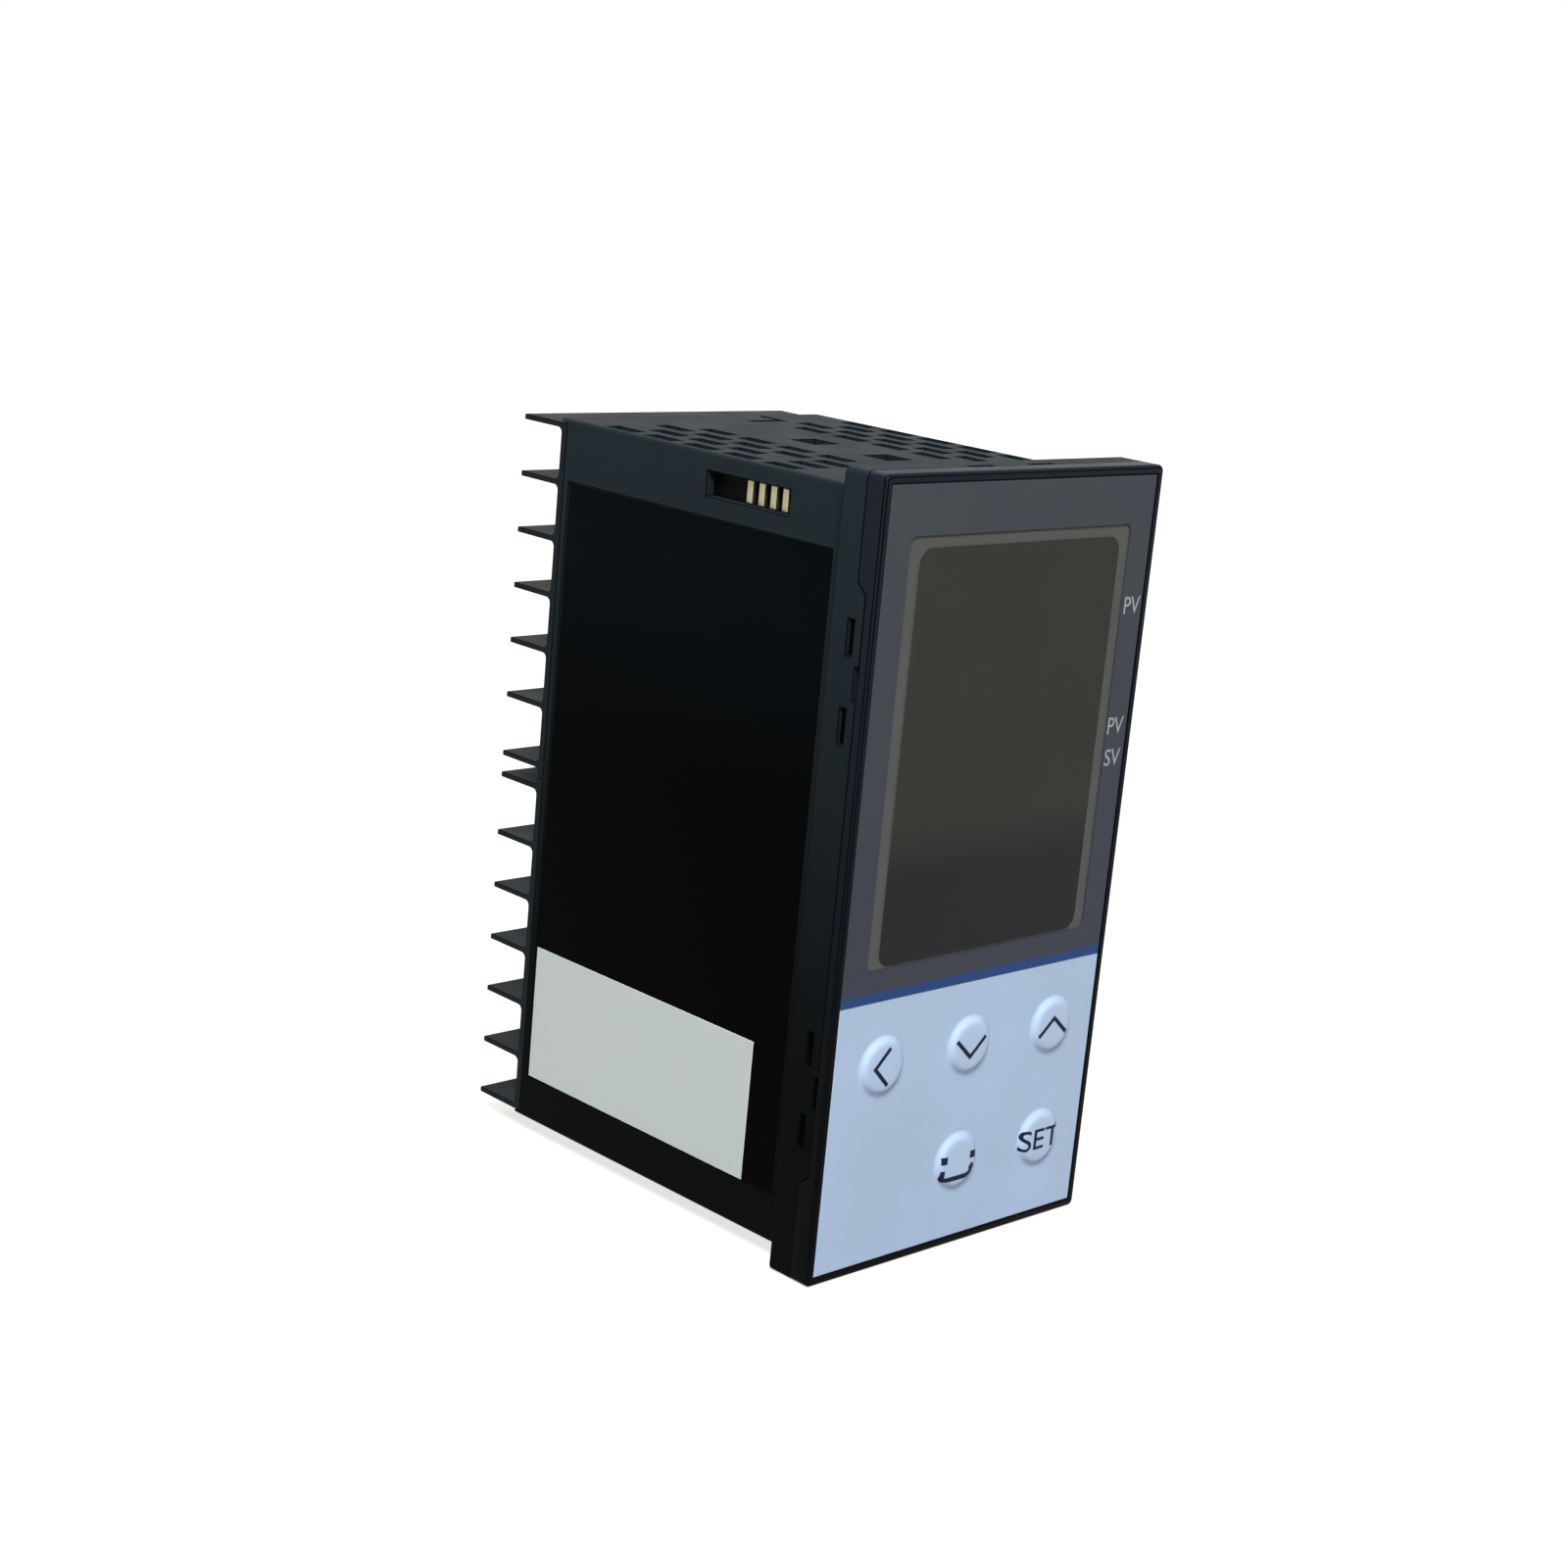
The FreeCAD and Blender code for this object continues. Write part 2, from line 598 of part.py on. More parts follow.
def release_slot():
    """The L of the slot that lets a terminal block go."""
    left = "tab_slot_across - tab_slot_foot - tab_slot_width / 2"
    middle = "tab_slot_across - tab_slot_width / 2"
    right = "tab_slot_across + tab_slot_width / 2"
    front = "tab_slot_start"
    back = "tab_slot_start + tab_slot_width"
    return [(left, front), (right, front), (right, PLATE_FRONT), (middle, PLATE_FRONT),
            (middle, back), (left, back)]


def add_board_guides(case):
    """Pairs of ribs inside the top and foot that steer the two upright boards."""
    drawn = sketch(case, "y", "guide_start")
    half_slot = "(board / 2 + fit_gap)"
    for board_side in SIDES.values():
        for rib_side in ("-1", "1"):
            middle = f"{board_side} * board_offset + {rib_side} * ({half_slot} + guide_wall / 2)"
            rectangle(drawn, around(middle, "guide_wall"), (f"{INNER_Z} - guide_height", INNER_Z))
            rectangle(drawn, around(middle, "guide_wall"), (f"0 - {INNER_Z}", f"guide_height - {INNER_Z}"))
    pad(case, drawn, "guide_length")


# ---------------------------------------------------------------- the front
def window(drawn, spare="0"):
    """The display opening, a spare width larger on each side."""
    rectangle(drawn, around("0", f"window_width + 2 * ({spare})"),
              around("window_level", f"window_height + 2 * ({spare})"))


def key_holes(drawn, hidden=False):
    """A hole for each key: round in the sheet, and a wider many-sided one hidden behind it."""
    for across, level in KEYS.values():
        if hidden:
            regular(drawn, FLANGE_SIDES, "key_radius + 3 * key_gap", across, level)
        else:
            circle(drawn, "key_radius + key_gap", across, level)


def window_corners(edge):
    """A test for the corner edges of the display opening."""
    return corners("window_width / 2", "window_height / 2", "window_level")(edge)


def on_front(edge):
    """A test for edges that lie in the foremost plane."""
    return edge.BoundBox.YLength < TOUCH and near(edge.CenterOfMass.y, FRONT)


def make_bezel():
    """The front frame: a plate with a recessed face and a ring that plugs into the case."""
    bezel = new_body("front_bezel")
    drawn = sketch(bezel, "y", FRONT)
    rectangle(drawn, around("0", "bezel_width"), around("0", "bezel_height"))
    pad(bezel, drawn, "bezel_depth")
    fillet(bezel, "bezel_corner", corners("bezel_width / 2", "bezel_height / 2"))
    bevel(bezel, "bezel_bevel", on_front)

    drawn = sketch(bezel, "y", FRONT)
    rectangle(drawn, around("0", "bezel_width - 2 * rim"), around("0", "bezel_height - 2 * rim"))
    pocket(bezel, drawn, "sheet_set_back + sheet_thickness")
    drawn = sketch(bezel, "y", FRONT)
    window(drawn)
    pocket(bezel, drawn, "bezel_depth")
    fillet(bezel, "window_corner", window_corners)
    drawn = sketch(bezel, "y", SEAM)
    window(drawn, "lens_flange")
    pocket(bezel, drawn, "lens_rebate", toward=-1)
    drawn = sketch(bezel, "y", FRONT)
    key_holes(drawn, hidden=True)
    pocket(bezel, drawn, "bezel_depth")

    for side, sign in SIDES.items():
        drawn = sketch(bezel, "x", f"{sign} * bezel_width / 2")
        outline(drawn, tongue_outline("fit_gap"))
        pocket(bezel, drawn, "tongue_wall + fit_gap", toward=-1 if side == "right" else 1)

    drawn = sketch(bezel, "y", SEAM)
    rectangle(drawn, around("0", f"2 * {RING_OUT_X}"), around("0", f"2 * {RING_OUT_Z}"))
    rectangle(drawn, around("0", f"2 * {RING_IN_X}"), around("0", f"2 * {RING_IN_Z}"))
    pad(bezel, drawn, "spigot_length")
    add_posts(bezel)
    add_hooks(bezel)
    return bezel


def add_posts(bezel):
    """Posts in the ring's corners that carry the display board."""
    drawn = sketch(bezel, "y", SEAM)
    for across in SIDES.values():
        for up in WALLS.values():
            rectangle(drawn, around(f"{across} * ({RING_IN_X} - post_width / 2 + spigot_wall / 2)",
                                    "post_width + spigot_wall"),
                      around(f"{up} * ({RING_IN_Z} - post_height / 2 + spigot_wall / 2)",
                             "post_height + spigot_wall"))
    pad(bezel, drawn, f"{BOARD_FRONT} - {SEAM}")


def add_hooks(bezel):
    """Snap hooks on the ring, one for each latch window."""
    rear = "latch_width / 2 - latch_ahead - fit_gap"
    length = "latch_length - 2 * fit_gap"
    for side, sign in SIDES.items():
        drawn = sketch(bezel, "x", f"{sign} * {RING_OUT_X}")
        for level in latch_middles():
            rectangle(drawn, (SEAM, rear), around(level, length))
        pad(bezel, drawn, "hook_height", toward=1 if side == "right" else -1)
    for wall, sign in WALLS.items():
        drawn = sketch(bezel, "z", f"{sign} * {RING_OUT_Z}")
        for end in ("-1", "1"):
            rectangle(drawn, around(f"{end} * latch_spacing_top / 2", length), (SEAM, rear))
        pad(bezel, drawn, "hook_height", toward=1 if wall == "top" else -1)


def make_sheet():
    """The printed sheet on the face of the frame, open over the display and the keys."""
    printed = new_body("front_sheet")
    drawn = sketch(printed, "y", SHEET_FACE)
    spare = "2 * (rim + seat_gap)"
    rectangle(drawn, around("0", f"bezel_width - {spare}"), around("0", f"bezel_height - {spare}"))
    pad(printed, drawn, "sheet_thickness")
    drawn = sketch(printed, "y", SHEET_FACE)
    window(drawn)
    pocket(printed, drawn, "sheet_thickness")
    fillet(printed, "window_corner", window_corners)
    drawn = sketch(printed, "y", SHEET_FACE)
    key_holes(drawn)
    pocket(printed, drawn, "sheet_thickness")
    return printed


def make_lens():
    """The display cover: a dark field ahead of its border, and an edge seated behind the frame."""
    lens = new_body("display_lens")
    drawn = sketch(lens, "y", LENS_FACE)
    window(drawn, "0 - seat_gap")
    pad(lens, drawn, f"{SEAM} - {LENS_FACE}")
    fillet(lens, "window_corner",
           corners("window_width / 2 - seat_gap", "window_height / 2 - seat_gap", "window_level"))
    drawn = sketch(lens, "y", f"{SEAM} - lens_rebate")
    window(drawn, "lens_flange - fit_gap")
    pad(lens, drawn, "lens_rebate")
    drawn = sketch(lens, "y", SCREEN_FACE)
    rectangle(drawn, around("0", "screen_width"), around("screen_level", "screen_height"))
    pad(lens, drawn, "screen_step")
    fillet(lens, "screen_corner", corners("screen_width / 2", "screen_height / 2", "screen_level"))
    return lens


def make_key(name, across, level):
    """A key: a turned pad with a sloping flank, and a many-sided retaining flange behind the frame."""
    key = new_body(f"key_{name}")
    profile = [
        ("0", KEY_FACE),
        ("key_top_radius", KEY_FACE),
        ("key_radius", SHEET_FACE),
        ("key_radius", KEY_SEAT),
        ("0", KEY_SEAT),
    ]
    drawn = sketch(key, "z", "0")
    outline(drawn, profile)
    turned = key.newObject("PartDesign::Revolution", f"{key.Name}_turned")
    turned.Profile = drawn
    turned.ReferenceAxis = (drawn, ["V_Axis"])
    turned.Angle = 360
    drawn = sketch(key, "y", KEY_SEAT)
    regular(drawn, FLANGE_SIDES, "key_radius + key_flange", "0", "0")
    pad(key, drawn, "key_flange_depth")
    key.setExpression("Placement.Base.x", sized(across))
    key.setExpression("Placement.Base.z", sized(level))
    return key


def make_plunger(name, across, level):
    """The moving stud of a key's switch, touching the back of the key."""
    return box(f"plunger_{name}", around(across, "plunger_width"), (KEY_BACK, PLUNGER_END),
               around(level, "plunger_width"))


def make_switches():
    """The switch housings on the display board, one behind each key."""
    housings = []
    for name, (across, level) in KEYS.items():
        block = box(f"housing_{name}", around(across, "switch_width"), (SWITCH_FRONT, BOARD_FRONT),
                    around(level, "switch_width"))
        well = box(f"well_{name}", around(across, "plunger_width + 2 * plunger_gap"),
                   (SWITCH_FRONT, f"{PLUNGER_END} + key_travel + plunger_spare"),
                   around(level, "plunger_width + 2 * plunger_gap"))
        housings.append(cut(f"switch_{name}", block, well))
    return group("key_switches", housings)


def make_display_stack():
    """The display cell and the light guide frame between it and the display board."""
    cell = box("lcd_glass", around("0", "window_width - 2 * cell_edge"), (CELL_FRONT, CELL_REAR),
               around("window_level", "window_height - 2 * cell_edge"))
    holder = new_body("lcd_holder")
    drawn = sketch(holder, "y", CELL_REAR)
    window(drawn, "holder_edge")
    window(drawn, "holder_edge - holder_wall")
    pad(holder, drawn, f"{BOARD_FRONT} - {CELL_REAR}")
    return [cell, holder]


# ---------------------------------------------------------------- inside the case
def make_boards():
    """The display board, the two upright boards and the terminal board."""
    upright = (BOARD_REAR, f"{BLOCK_FRONT} - board")
    height = around("0", f"2 * {BOARD_Z}")
    behind = f"({INNER_X} - board_gap)", f"({INNER_Z} - board_gap)"
    return [
        box("display_board", around("0", f"2 * {BOARD_X}"), (BOARD_FRONT, BOARD_REAR), height),
        box("main_board", around("0 - board_offset", "board"), upright, height),
        box("power_board", around("board_offset", "board"), upright, height),
        box("terminal_board", around("0", f"2 * {behind[0]}"), (f"{BLOCK_FRONT} - board", BLOCK_FRONT),
            around("0", f"2 * {behind[1]}")),
    ]


def make_board_parts():
    """Plug strips, transformer, capacitor and relays on the upright boards."""
    face = "(board_offset - board / 2)"
    rear = f"({BLOCK_FRONT} - board)"
    strips = []
    rows = (("main", (f"0 - {face}", f"header_width - {face}"), "main_header_level"),
            ("power", (f"{face} - header_width", face), "power_header_level"))
    for name, across, level in rows:
        up = around(level, "header_height")
        strips.append(box(f"strip_{name}_front", across, (BOARD_REAR, f"{BOARD_REAR} + header_length"), up))
        strips.append(box(f"strip_{name}_rear", across, (f"{rear} - header_length", rear), up))
    transformer = box("transformer", (f"{face} - transformer_width", face),
                      ("transformer_start", "transformer_start + transformer_length"),
                      ("transformer_foot", "transformer_foot + transformer_height"))
    capacitor = rod_across("smoothing_capacitor", "capacitor_radius",
                           (f"{face} - capacitor_length", face), "capacitor_behind", "capacitor_level")
    relays = []
    for number in range(int(value("relay_count"))):
        low = f"relay_foot + {number} * relay_pitch"
        relays.append(box(f"relay_{number + 1}", (f"{face} - relay_width", face),
                          ("relay_start", "relay_start + relay_length"), (low, f"{low} + relay_height")))
    return [group("board_headers", strips), transformer, capacitor, group("output_relays", relays)]


def make_service_socket():
    """The service socket on the main board and its contacts in the side window."""
    high = "(case_height / 2 - socket_drop)"
    board_face = "(0 - board_offset - board / 2)"
    socket_face = f"(fit_gap - {INNER_X})"
    housing = box("loader_socket", (socket_face, board_face),
                  ("socket_start - 2 * fit_gap", "socket_start + socket_length + 2 * fit_gap"),
                  (f"{high} - socket_height - 2 * fit_gap", f"{high} + 2 * fit_gap"))
    contacts = []
    for number in range(int(value("contact_count"))):
        middle = f"socket_start + contact_first + {number} * contact_pitch"
        contacts.append(box(f"contact_{number + 1}", (f"{socket_face} - contact_depth", socket_face),
                            around(middle, "contact_width"),
                            (f"{high} - socket_height + fit_gap", f"{high} - fit_gap")))
    return [housing, group("loader_contacts", contacts)]


def make_labels():
    """The glossy label that fills the left recess and the pale label on it."""
    floor = "(recess_depth - case_width / 2)"
    rear = "(case_length - recess_rear - fit_gap)"
    foot = "(recess_foot + fit_gap - case_height / 2)"
    dark = box("side_label", (f"{floor} - label_thickness", floor), ("recess_front + fit_gap", rear),
               (foot, "case_height / 2 - recess_top - fit_gap"))
    pale_face = f"({floor} - label_thickness)"
    pale = box("rating_label", (f"{pale_face} - rating_thickness", pale_face),
               (f"{rear} - rating_length", f"{rear} - fit_gap"),
               (f"{foot} + fit_gap", f"{foot} + fit_gap + rating_height"))
    return [dark, pale]


# ---------------------------------------------------------------- the terminals
def make_terminal_block(name):
    """The upper block: base plate, body inside the case, barrier fins and terminal pockets."""
    block = new_body(name)
    foot = "block_split / 2"
    drawn = sketch(block, "y", PLATE_FRONT)
    rectangle(drawn, around("0", "case_width"), (foot, BLOCK_TOP))
    pad(block, drawn, "block_plate")
    drawn = sketch(block, "y", BLOCK_FRONT)
    rectangle(drawn, around("0", f"2 * ({INNER_X} - fit_gap)"), (foot, f"{INNER_Z} - fit_gap"))
    pad(block, drawn, "block_body")

    drawn = sketch(block, "y", "case_length")
    rectangle(drawn, around("0", "case_width"), around("inner_fin", "fin_thickness"))
    pad(block, drawn, "fin_reach")
    drawn = sketch(block, "y", "case_length")
    rectangle(drawn, around("0", "case_width"), around("lowest_fin", "fin_thickness"))
    fin = pad(block, drawn, "fin_reach")
    repeat(block, [fin], "Z", "(row_count - 1) * row_pitch", "row_count")
    fillet(block, "fin_fillet", fin_root)

    drawn = sketch(block, "y", "case_length")
    rectangle(drawn, around(FIRST_COLUMN, "clamp_width + 2 * fit_gap"),
              around(LOWEST_ROW, "clamp_height + 2 * fit_gap"))
    seat = pocket(block, drawn, "pocket_depth", toward=-1)
    drawn = sketch(block, "y", POCKET_FLOOR)
    regular(drawn, SHANK_SIDES, "screw_radius + bore_gap", FIRST_COLUMN, LOWEST_ROW)
    bore = pocket(block, drawn, f"{POCKET_FLOOR} - {SCREW_TIP} + bore_spare", toward=-1)
    repeat_on_terminals(block, [seat, bore])
    return block


def fin_root(edge):
    """A test for the inner corner between a fin and the base plate."""
    middle = edge.CenterOfMass
    inside = value("inner_fin - fin_thickness") < middle.z < value(f"{BLOCK_TOP} - fin_thickness / 2")
    return runs_along(edge, "x") and near(middle.y, "case_length") and inside


def make_plates(name):
    """Terminal plates with a screw hole, one in every pocket of the upper block."""
    plates = new_body(name, several=True)
    drawn = sketch(plates, "y", POCKET_FLOOR)
    rectangle(drawn, around(FIRST_COLUMN, "clamp_width"), around(LOWEST_ROW, "clamp_height"))
    regular(drawn, SHANK_SIDES, "screw_radius + thread_gap", FIRST_COLUMN, LOWEST_ROW)
    repeat_on_terminals(plates, [pad(plates, drawn, "clamp_thickness")])
    return plates


def make_screws(name):
    """Slotted screws with a captive clamp washer, one on every terminal of the upper block."""
    screws = new_body(name, several=True)
    drawn = sketch(screws, "y", WASHER_FRONT)
    rectangle(drawn, around(FIRST_COLUMN, "clamp_width"), around(LOWEST_ROW, "clamp_height"))
    washer = pad(screws, drawn, "clamp_thickness")
    drawn = sketch(screws, "y", HEAD_FRONT)
    regular(drawn, HEAD_SIDES, "head_radius", FIRST_COLUMN, LOWEST_ROW)
    head = pad(screws, drawn, "head_height")
    drawn = sketch(screws, "y", WASHER_FRONT)
    regular(drawn, SHANK_SIDES, "screw_radius", FIRST_COLUMN, LOWEST_ROW)
    shank = pad(screws, drawn, f"{WASHER_FRONT} - {SCREW_TIP}", toward=-1)
    drawn = sketch(screws, "y", f"{HEAD_FRONT} + head_height")
    rectangle(drawn, around(FIRST_COLUMN, "3 * head_radius"), around(LOWEST_ROW, "slot_in_head"))
    slot = pocket(screws, drawn, "slot_in_head_depth", toward=-1)
    repeat_on_terminals(screws, [washer, head, shank, slot])
    return screws


def make_terminals(half):
    """A terminal block with its plates, clamp washers and screws, for one half of the rear."""
    pieces = [
        make_terminal_block(f"terminal_block_{half}"),
        make_plates(f"terminal_plates_{half}"),
        make_screws(f"terminal_screws_{half}"),
    ]
    if half == "lower":
        # The lower block is the same moulding turned half round.
        for piece in pieces:
            piece.Placement = Placement(Vector(0, 0, 0), Rotation(Vector(0, 1, 0), 180))
    return pieces


# ---------------------------------------------------------------- build, check and write
nodes = [make_case(), make_bezel(), make_sheet(), make_lens()]
nodes += [make_key(name, *place) for name, place in KEYS.items()]
nodes += [make_plunger(name, *place) for name, place in KEYS.items()]
nodes += [make_switches()]
nodes += make_display_stack()
nodes += make_boards()
nodes += make_board_parts()
nodes += make_service_socket()
nodes += make_labels()
for half in ("upper", "lower"):
    nodes += make_terminals(half)
for node in nodes:
    node.Label = node.Name
doc.recompute()

for item in doc.Objects:
    if "Invalid" in item.State or "Error" in item.State:
        raise RuntimeError(f"{item.Name} failed: {item.State}")
for node in nodes:
    if node.Shape.isNull() or not node.Shape.isValid():
        raise RuntimeError(f"{node.Label} has no valid shape")

os.makedirs("parts", exist_ok=True)
for node in nodes:
    node.Shape.exportStep(f"parts/{node.Label}.step")
print(f"{len(nodes)} nodes, {sum(len(node.Shape.Solids) for node in nodes)} solids")
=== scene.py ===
import math

import bmesh
import bpy
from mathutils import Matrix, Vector


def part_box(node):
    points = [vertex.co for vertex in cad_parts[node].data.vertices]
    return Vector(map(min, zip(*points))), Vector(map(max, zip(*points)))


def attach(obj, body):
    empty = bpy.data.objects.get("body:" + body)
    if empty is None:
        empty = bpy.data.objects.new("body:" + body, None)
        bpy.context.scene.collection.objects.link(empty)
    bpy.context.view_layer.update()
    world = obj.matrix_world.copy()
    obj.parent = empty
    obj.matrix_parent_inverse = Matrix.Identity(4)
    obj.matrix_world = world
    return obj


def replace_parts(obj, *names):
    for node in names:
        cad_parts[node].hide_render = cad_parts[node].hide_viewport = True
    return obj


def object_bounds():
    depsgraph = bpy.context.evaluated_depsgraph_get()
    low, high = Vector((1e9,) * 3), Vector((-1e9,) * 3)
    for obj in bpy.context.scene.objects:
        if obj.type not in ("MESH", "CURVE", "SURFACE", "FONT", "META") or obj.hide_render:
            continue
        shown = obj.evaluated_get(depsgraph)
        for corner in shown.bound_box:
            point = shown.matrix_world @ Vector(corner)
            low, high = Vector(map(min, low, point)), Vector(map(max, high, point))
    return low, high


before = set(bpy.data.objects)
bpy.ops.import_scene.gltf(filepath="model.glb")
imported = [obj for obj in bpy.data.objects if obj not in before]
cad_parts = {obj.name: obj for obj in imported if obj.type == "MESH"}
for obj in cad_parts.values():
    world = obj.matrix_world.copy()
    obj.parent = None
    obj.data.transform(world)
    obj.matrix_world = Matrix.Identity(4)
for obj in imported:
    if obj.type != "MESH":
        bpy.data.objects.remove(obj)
cad_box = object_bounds()

MM = 0.001
# Points nearer to each other than SAME_POINT are one point. A point nearer than NEAR to a plane lies on it.
SAME_POINT = 0.001 * MM
NEAR = 0.01 * MM

# ---------------------------------------------------------------- places taken from the frame
SHEET_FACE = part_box("front_sheet")[0].y
KEYS = ("shift", "down", "up", "user", "select")
# How far ink stands above a key's dome, and above a flat face.
INK_LIFT = 0.035 * MM
PRINT_LIFT = 0.01 * MM


def middle(node):
    """The middle of a CAD node's box."""
    low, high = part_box(node)
    return (low + high) / 2


# ---------------------------------------------------------------- paint
def linear(red, green, blue):
    """A display colour of 0 to 255 a channel, as the linear colour that a shader takes."""
    channels = []
    for value in (red, green, blue):
        share = value / 255
        channels.append(share / 12.92 if share < 0.04045 else ((share + 0.055) / 1.055) ** 2.4)
    return (*channels, 1.0)


def scaled(colour, share):
    """The same linear colour, lighter or darker by a share."""
    return (*(channel * share for channel in colour[:3]), 1.0)


def new_material(name, roughness, metallic=0.0, specular=0.5):
    """A material with the plain numbers set on the shader itself.

    Returns the material, its tree and the shader.
    """
    material = bpy.data.materials.new(name)
    material.use_nodes = True
    surface = material.node_tree.nodes["Principled BSDF"]
    surface.inputs["Roughness"].default_value = roughness
    surface.inputs["Metallic"].default_value = metallic
    surface.inputs["Specular IOR Level"].default_value = specular
    return material, material.node_tree, surface


def noise(tree, size_mm, detail=3.0):
    """Noise fixed to the object, with spots of about the given size. Returns its value socket."""
    where = tree.nodes.new("ShaderNodeTexCoord")
    spots = tree.nodes.new("ShaderNodeTexNoise")
    spots.inputs["Scale"].default_value = 1 / (size_mm * MM)
    spots.inputs["Detail"].default_value = detail
    tree.links.new(where.outputs["Object"], spots.inputs["Vector"])
    return spots.outputs["Fac"]


def mapped(tree, value, before, after=(0.0, 1.0), smooth=False):
    """A value that goes from one end of after to the other while the given value goes through before."""
    spread = tree.nodes.new("ShaderNodeMapRange")
    if smooth:
        spread.interpolation_type = "SMOOTHSTEP"
    spread.inputs["From Min"].default_value = before[0]
    spread.inputs["From Max"].default_value = before[1]
    spread.inputs["To Min"].default_value = after[0]
    spread.inputs["To Max"].default_value = after[1]
    tree.links.new(value, spread.inputs["Value"])
    return spread.outputs["Result"]


# Nearly all of a noise lies between these values.
NOISE_SPAN = (0.3, 0.7)


def ramp(tree, value, low, high):
    """A noise value spread from low to high."""
    return mapped(tree, value, NOISE_SPAN, (low, high))


def height_share(tree, low_mm, high_mm):
    """0 below a level of the object and 1 above another, with a soft change between."""
    where = tree.nodes.new("ShaderNodeTexCoord")
    apart = tree.nodes.new("ShaderNodeSeparateXYZ")
    tree.links.new(where.outputs["Object"], apart.inputs["Vector"])
    return mapped(tree, apart.outputs["Z"], (low_mm * MM, high_mm * MM), smooth=True)


def mixed(tree, share, first, second):
    """Two colours mixed by a share socket. Each colour is a socket or a plain colour."""
    mix = tree.nodes.new("ShaderNodeMix")
    mix.data_type = "RGBA"
    tree.links.new(share, mix.inputs["Factor"])
    for colour, socket in ((first, mix.inputs["A"]), (second, mix.inputs["B"])):
        if isinstance(colour, tuple):
            socket.default_value = colour
        else:
            tree.links.new(colour, socket)
    return mix.outputs["Result"]


def add_bump(tree, surface, value, depth_mm):
    """Lets a value stand out of the surface by the given depth."""
    bump = tree.nodes.new("ShaderNodeBump")
    bump.inputs["Distance"].default_value = depth_mm * MM
    tree.links.new(value, bump.inputs["Height"])
    tree.links.new(bump.outputs["Normal"], surface.inputs["Normal"])


# Plastic with painted shade at the foot of the object darkens to the shade colour between these levels, in
# mm.
FOOT_SHADE_LEVELS = (-34.0, 48.0)


def plastic(name, colour, roughness, spread=0.06, grain_mm=0.25, depth_mm=0.01, specular=0.5, mottle=0.12,
            foot_shade=None):
    """Moulded plastic: a fine spark-eroded grain, cloudy patches in its gloss and a slight mottle.

    The foot shade, if given, is painted shade: the darker colour that it takes towards the foot of the
    object.
    """
    material, tree, surface = new_material(name, roughness, specular=specular)
    clouds = noise(tree, 9.0, detail=4.0)
    grain = noise(tree, grain_mm, detail=2.0)
    tone = mixed(tree, clouds, scaled(colour, 1 - mottle), scaled(colour, 1 + mottle))
    # Painted shade: the plastic darkens towards the foot of the object.
    if foot_shade:
        tone = mixed(tree, height_share(tree, *FOOT_SHADE_LEVELS), foot_shade, tone)
    gloss = ramp(tree, clouds, roughness - spread, roughness + spread)
    tree.links.new(tone, surface.inputs["Base Color"])
    tree.links.new(gloss, surface.inputs["Roughness"])
    add_bump(tree, surface, grain, depth_mm)
    return material


def metal(name, colour, roughness):
    """Plated metal with a fine grain and a cloudy sheen."""
    material, tree, surface = new_material(name, roughness, metallic=1.0)
    grain = noise(tree, 0.4)
    clouds = noise(tree, 2.5)
    tone = mixed(tree, clouds, scaled(colour, 0.82), scaled(colour, 1.05))
    tree.links.new(tone, surface.inputs["Base Color"])
    tree.links.new(ramp(tree, grain, roughness - 0.05, roughness + 0.08), surface.inputs["Roughness"])
    add_bump(tree, surface, grain, 0.001)
    return material


def film(name, upper, lower, reflection_levels, roughness, specular, depth_mm=0.0004):
    """A smooth dark film or window with a painted reflection: its tone changes softly from its foot to its
    top.
    """
    material, tree, surface = new_material(name, roughness, specular=specular)
    clouds = noise(tree, 12.0)
    shades = []
    for colour in (lower, upper):
        shades.append(mixed(tree, clouds, scaled(colour, 0.9), scaled(colour, 1.1)))
    tree.links.new(mixed(tree, height_share(tree, *reflection_levels), *shades), surface.inputs["Base Color"])
    tree.links.new(ramp(tree, clouds, roughness - 0.02, roughness + 0.03), surface.inputs["Roughness"])
    add_bump(tree, surface, noise(tree, 1.2, detail=2.0), depth_mm)
    return material


# ---------------------------------------------------------------- dressed copies of the solids
def finish_mesh(mesh, sharp_degrees):
    """Smooth shading over round faces and crisp edges between flat ones."""
    for polygon in mesh.polygons:
        polygon.use_smooth = True
    mesh.set_sharp_from_angle(angle=math.radians(sharp_degrees))


# Angles between two faces. Below the first they are one face, below the second they belong to one round
# face, and above the third the edge between them is rounded.
FLAT = math.radians(0.5)
SOFT = math.radians(20)
SHARP = math.radians(40)
# A facet of a round face is narrower than BROAD, and meets the next facets along edges that have at least
# LONG_SHARE of the length of its longest edge.
BROAD = 3 * MM
LONG_SHARE = 0.6


def flatten_walls(form):
    """Flat shading on a form's flat walls, and smooth shading on the narrow facets of its round faces."""
    for face in form.faces:
        longest = max(edge.calc_length() for edge in face.edges)
        soft = [edge for edge in face.edges
                if edge.calc_length() > LONG_SHARE * longest and len(edge.link_faces) == 2
                and FLAT < edge.calc_face_angle() < SOFT]
        face.smooth = len(soft) > 1 and face.calc_area() / longest < BROAD


def give_paints(mesh, paints):
    """Puts paints in the slots of a mesh in place of any that it has."""
    mesh.materials.clear()
    for paint in paints:
        mesh.materials.append(paint)


def mesh_of(form, name, paints=()):
    """The mesh of a form, with its paints. The form itself is freed."""
    mesh = bpy.data.meshes.new(name)
    give_paints(mesh, paints)
    form.to_mesh(mesh)
    form.free()
    return mesh


def new_piece(name, mesh, body):
    """An object for a finished mesh, riding on a body."""
    piece = bpy.data.objects.new(name, mesh)
    bpy.context.scene.collection.objects.link(piece)
    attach(piece, body)
    return piece


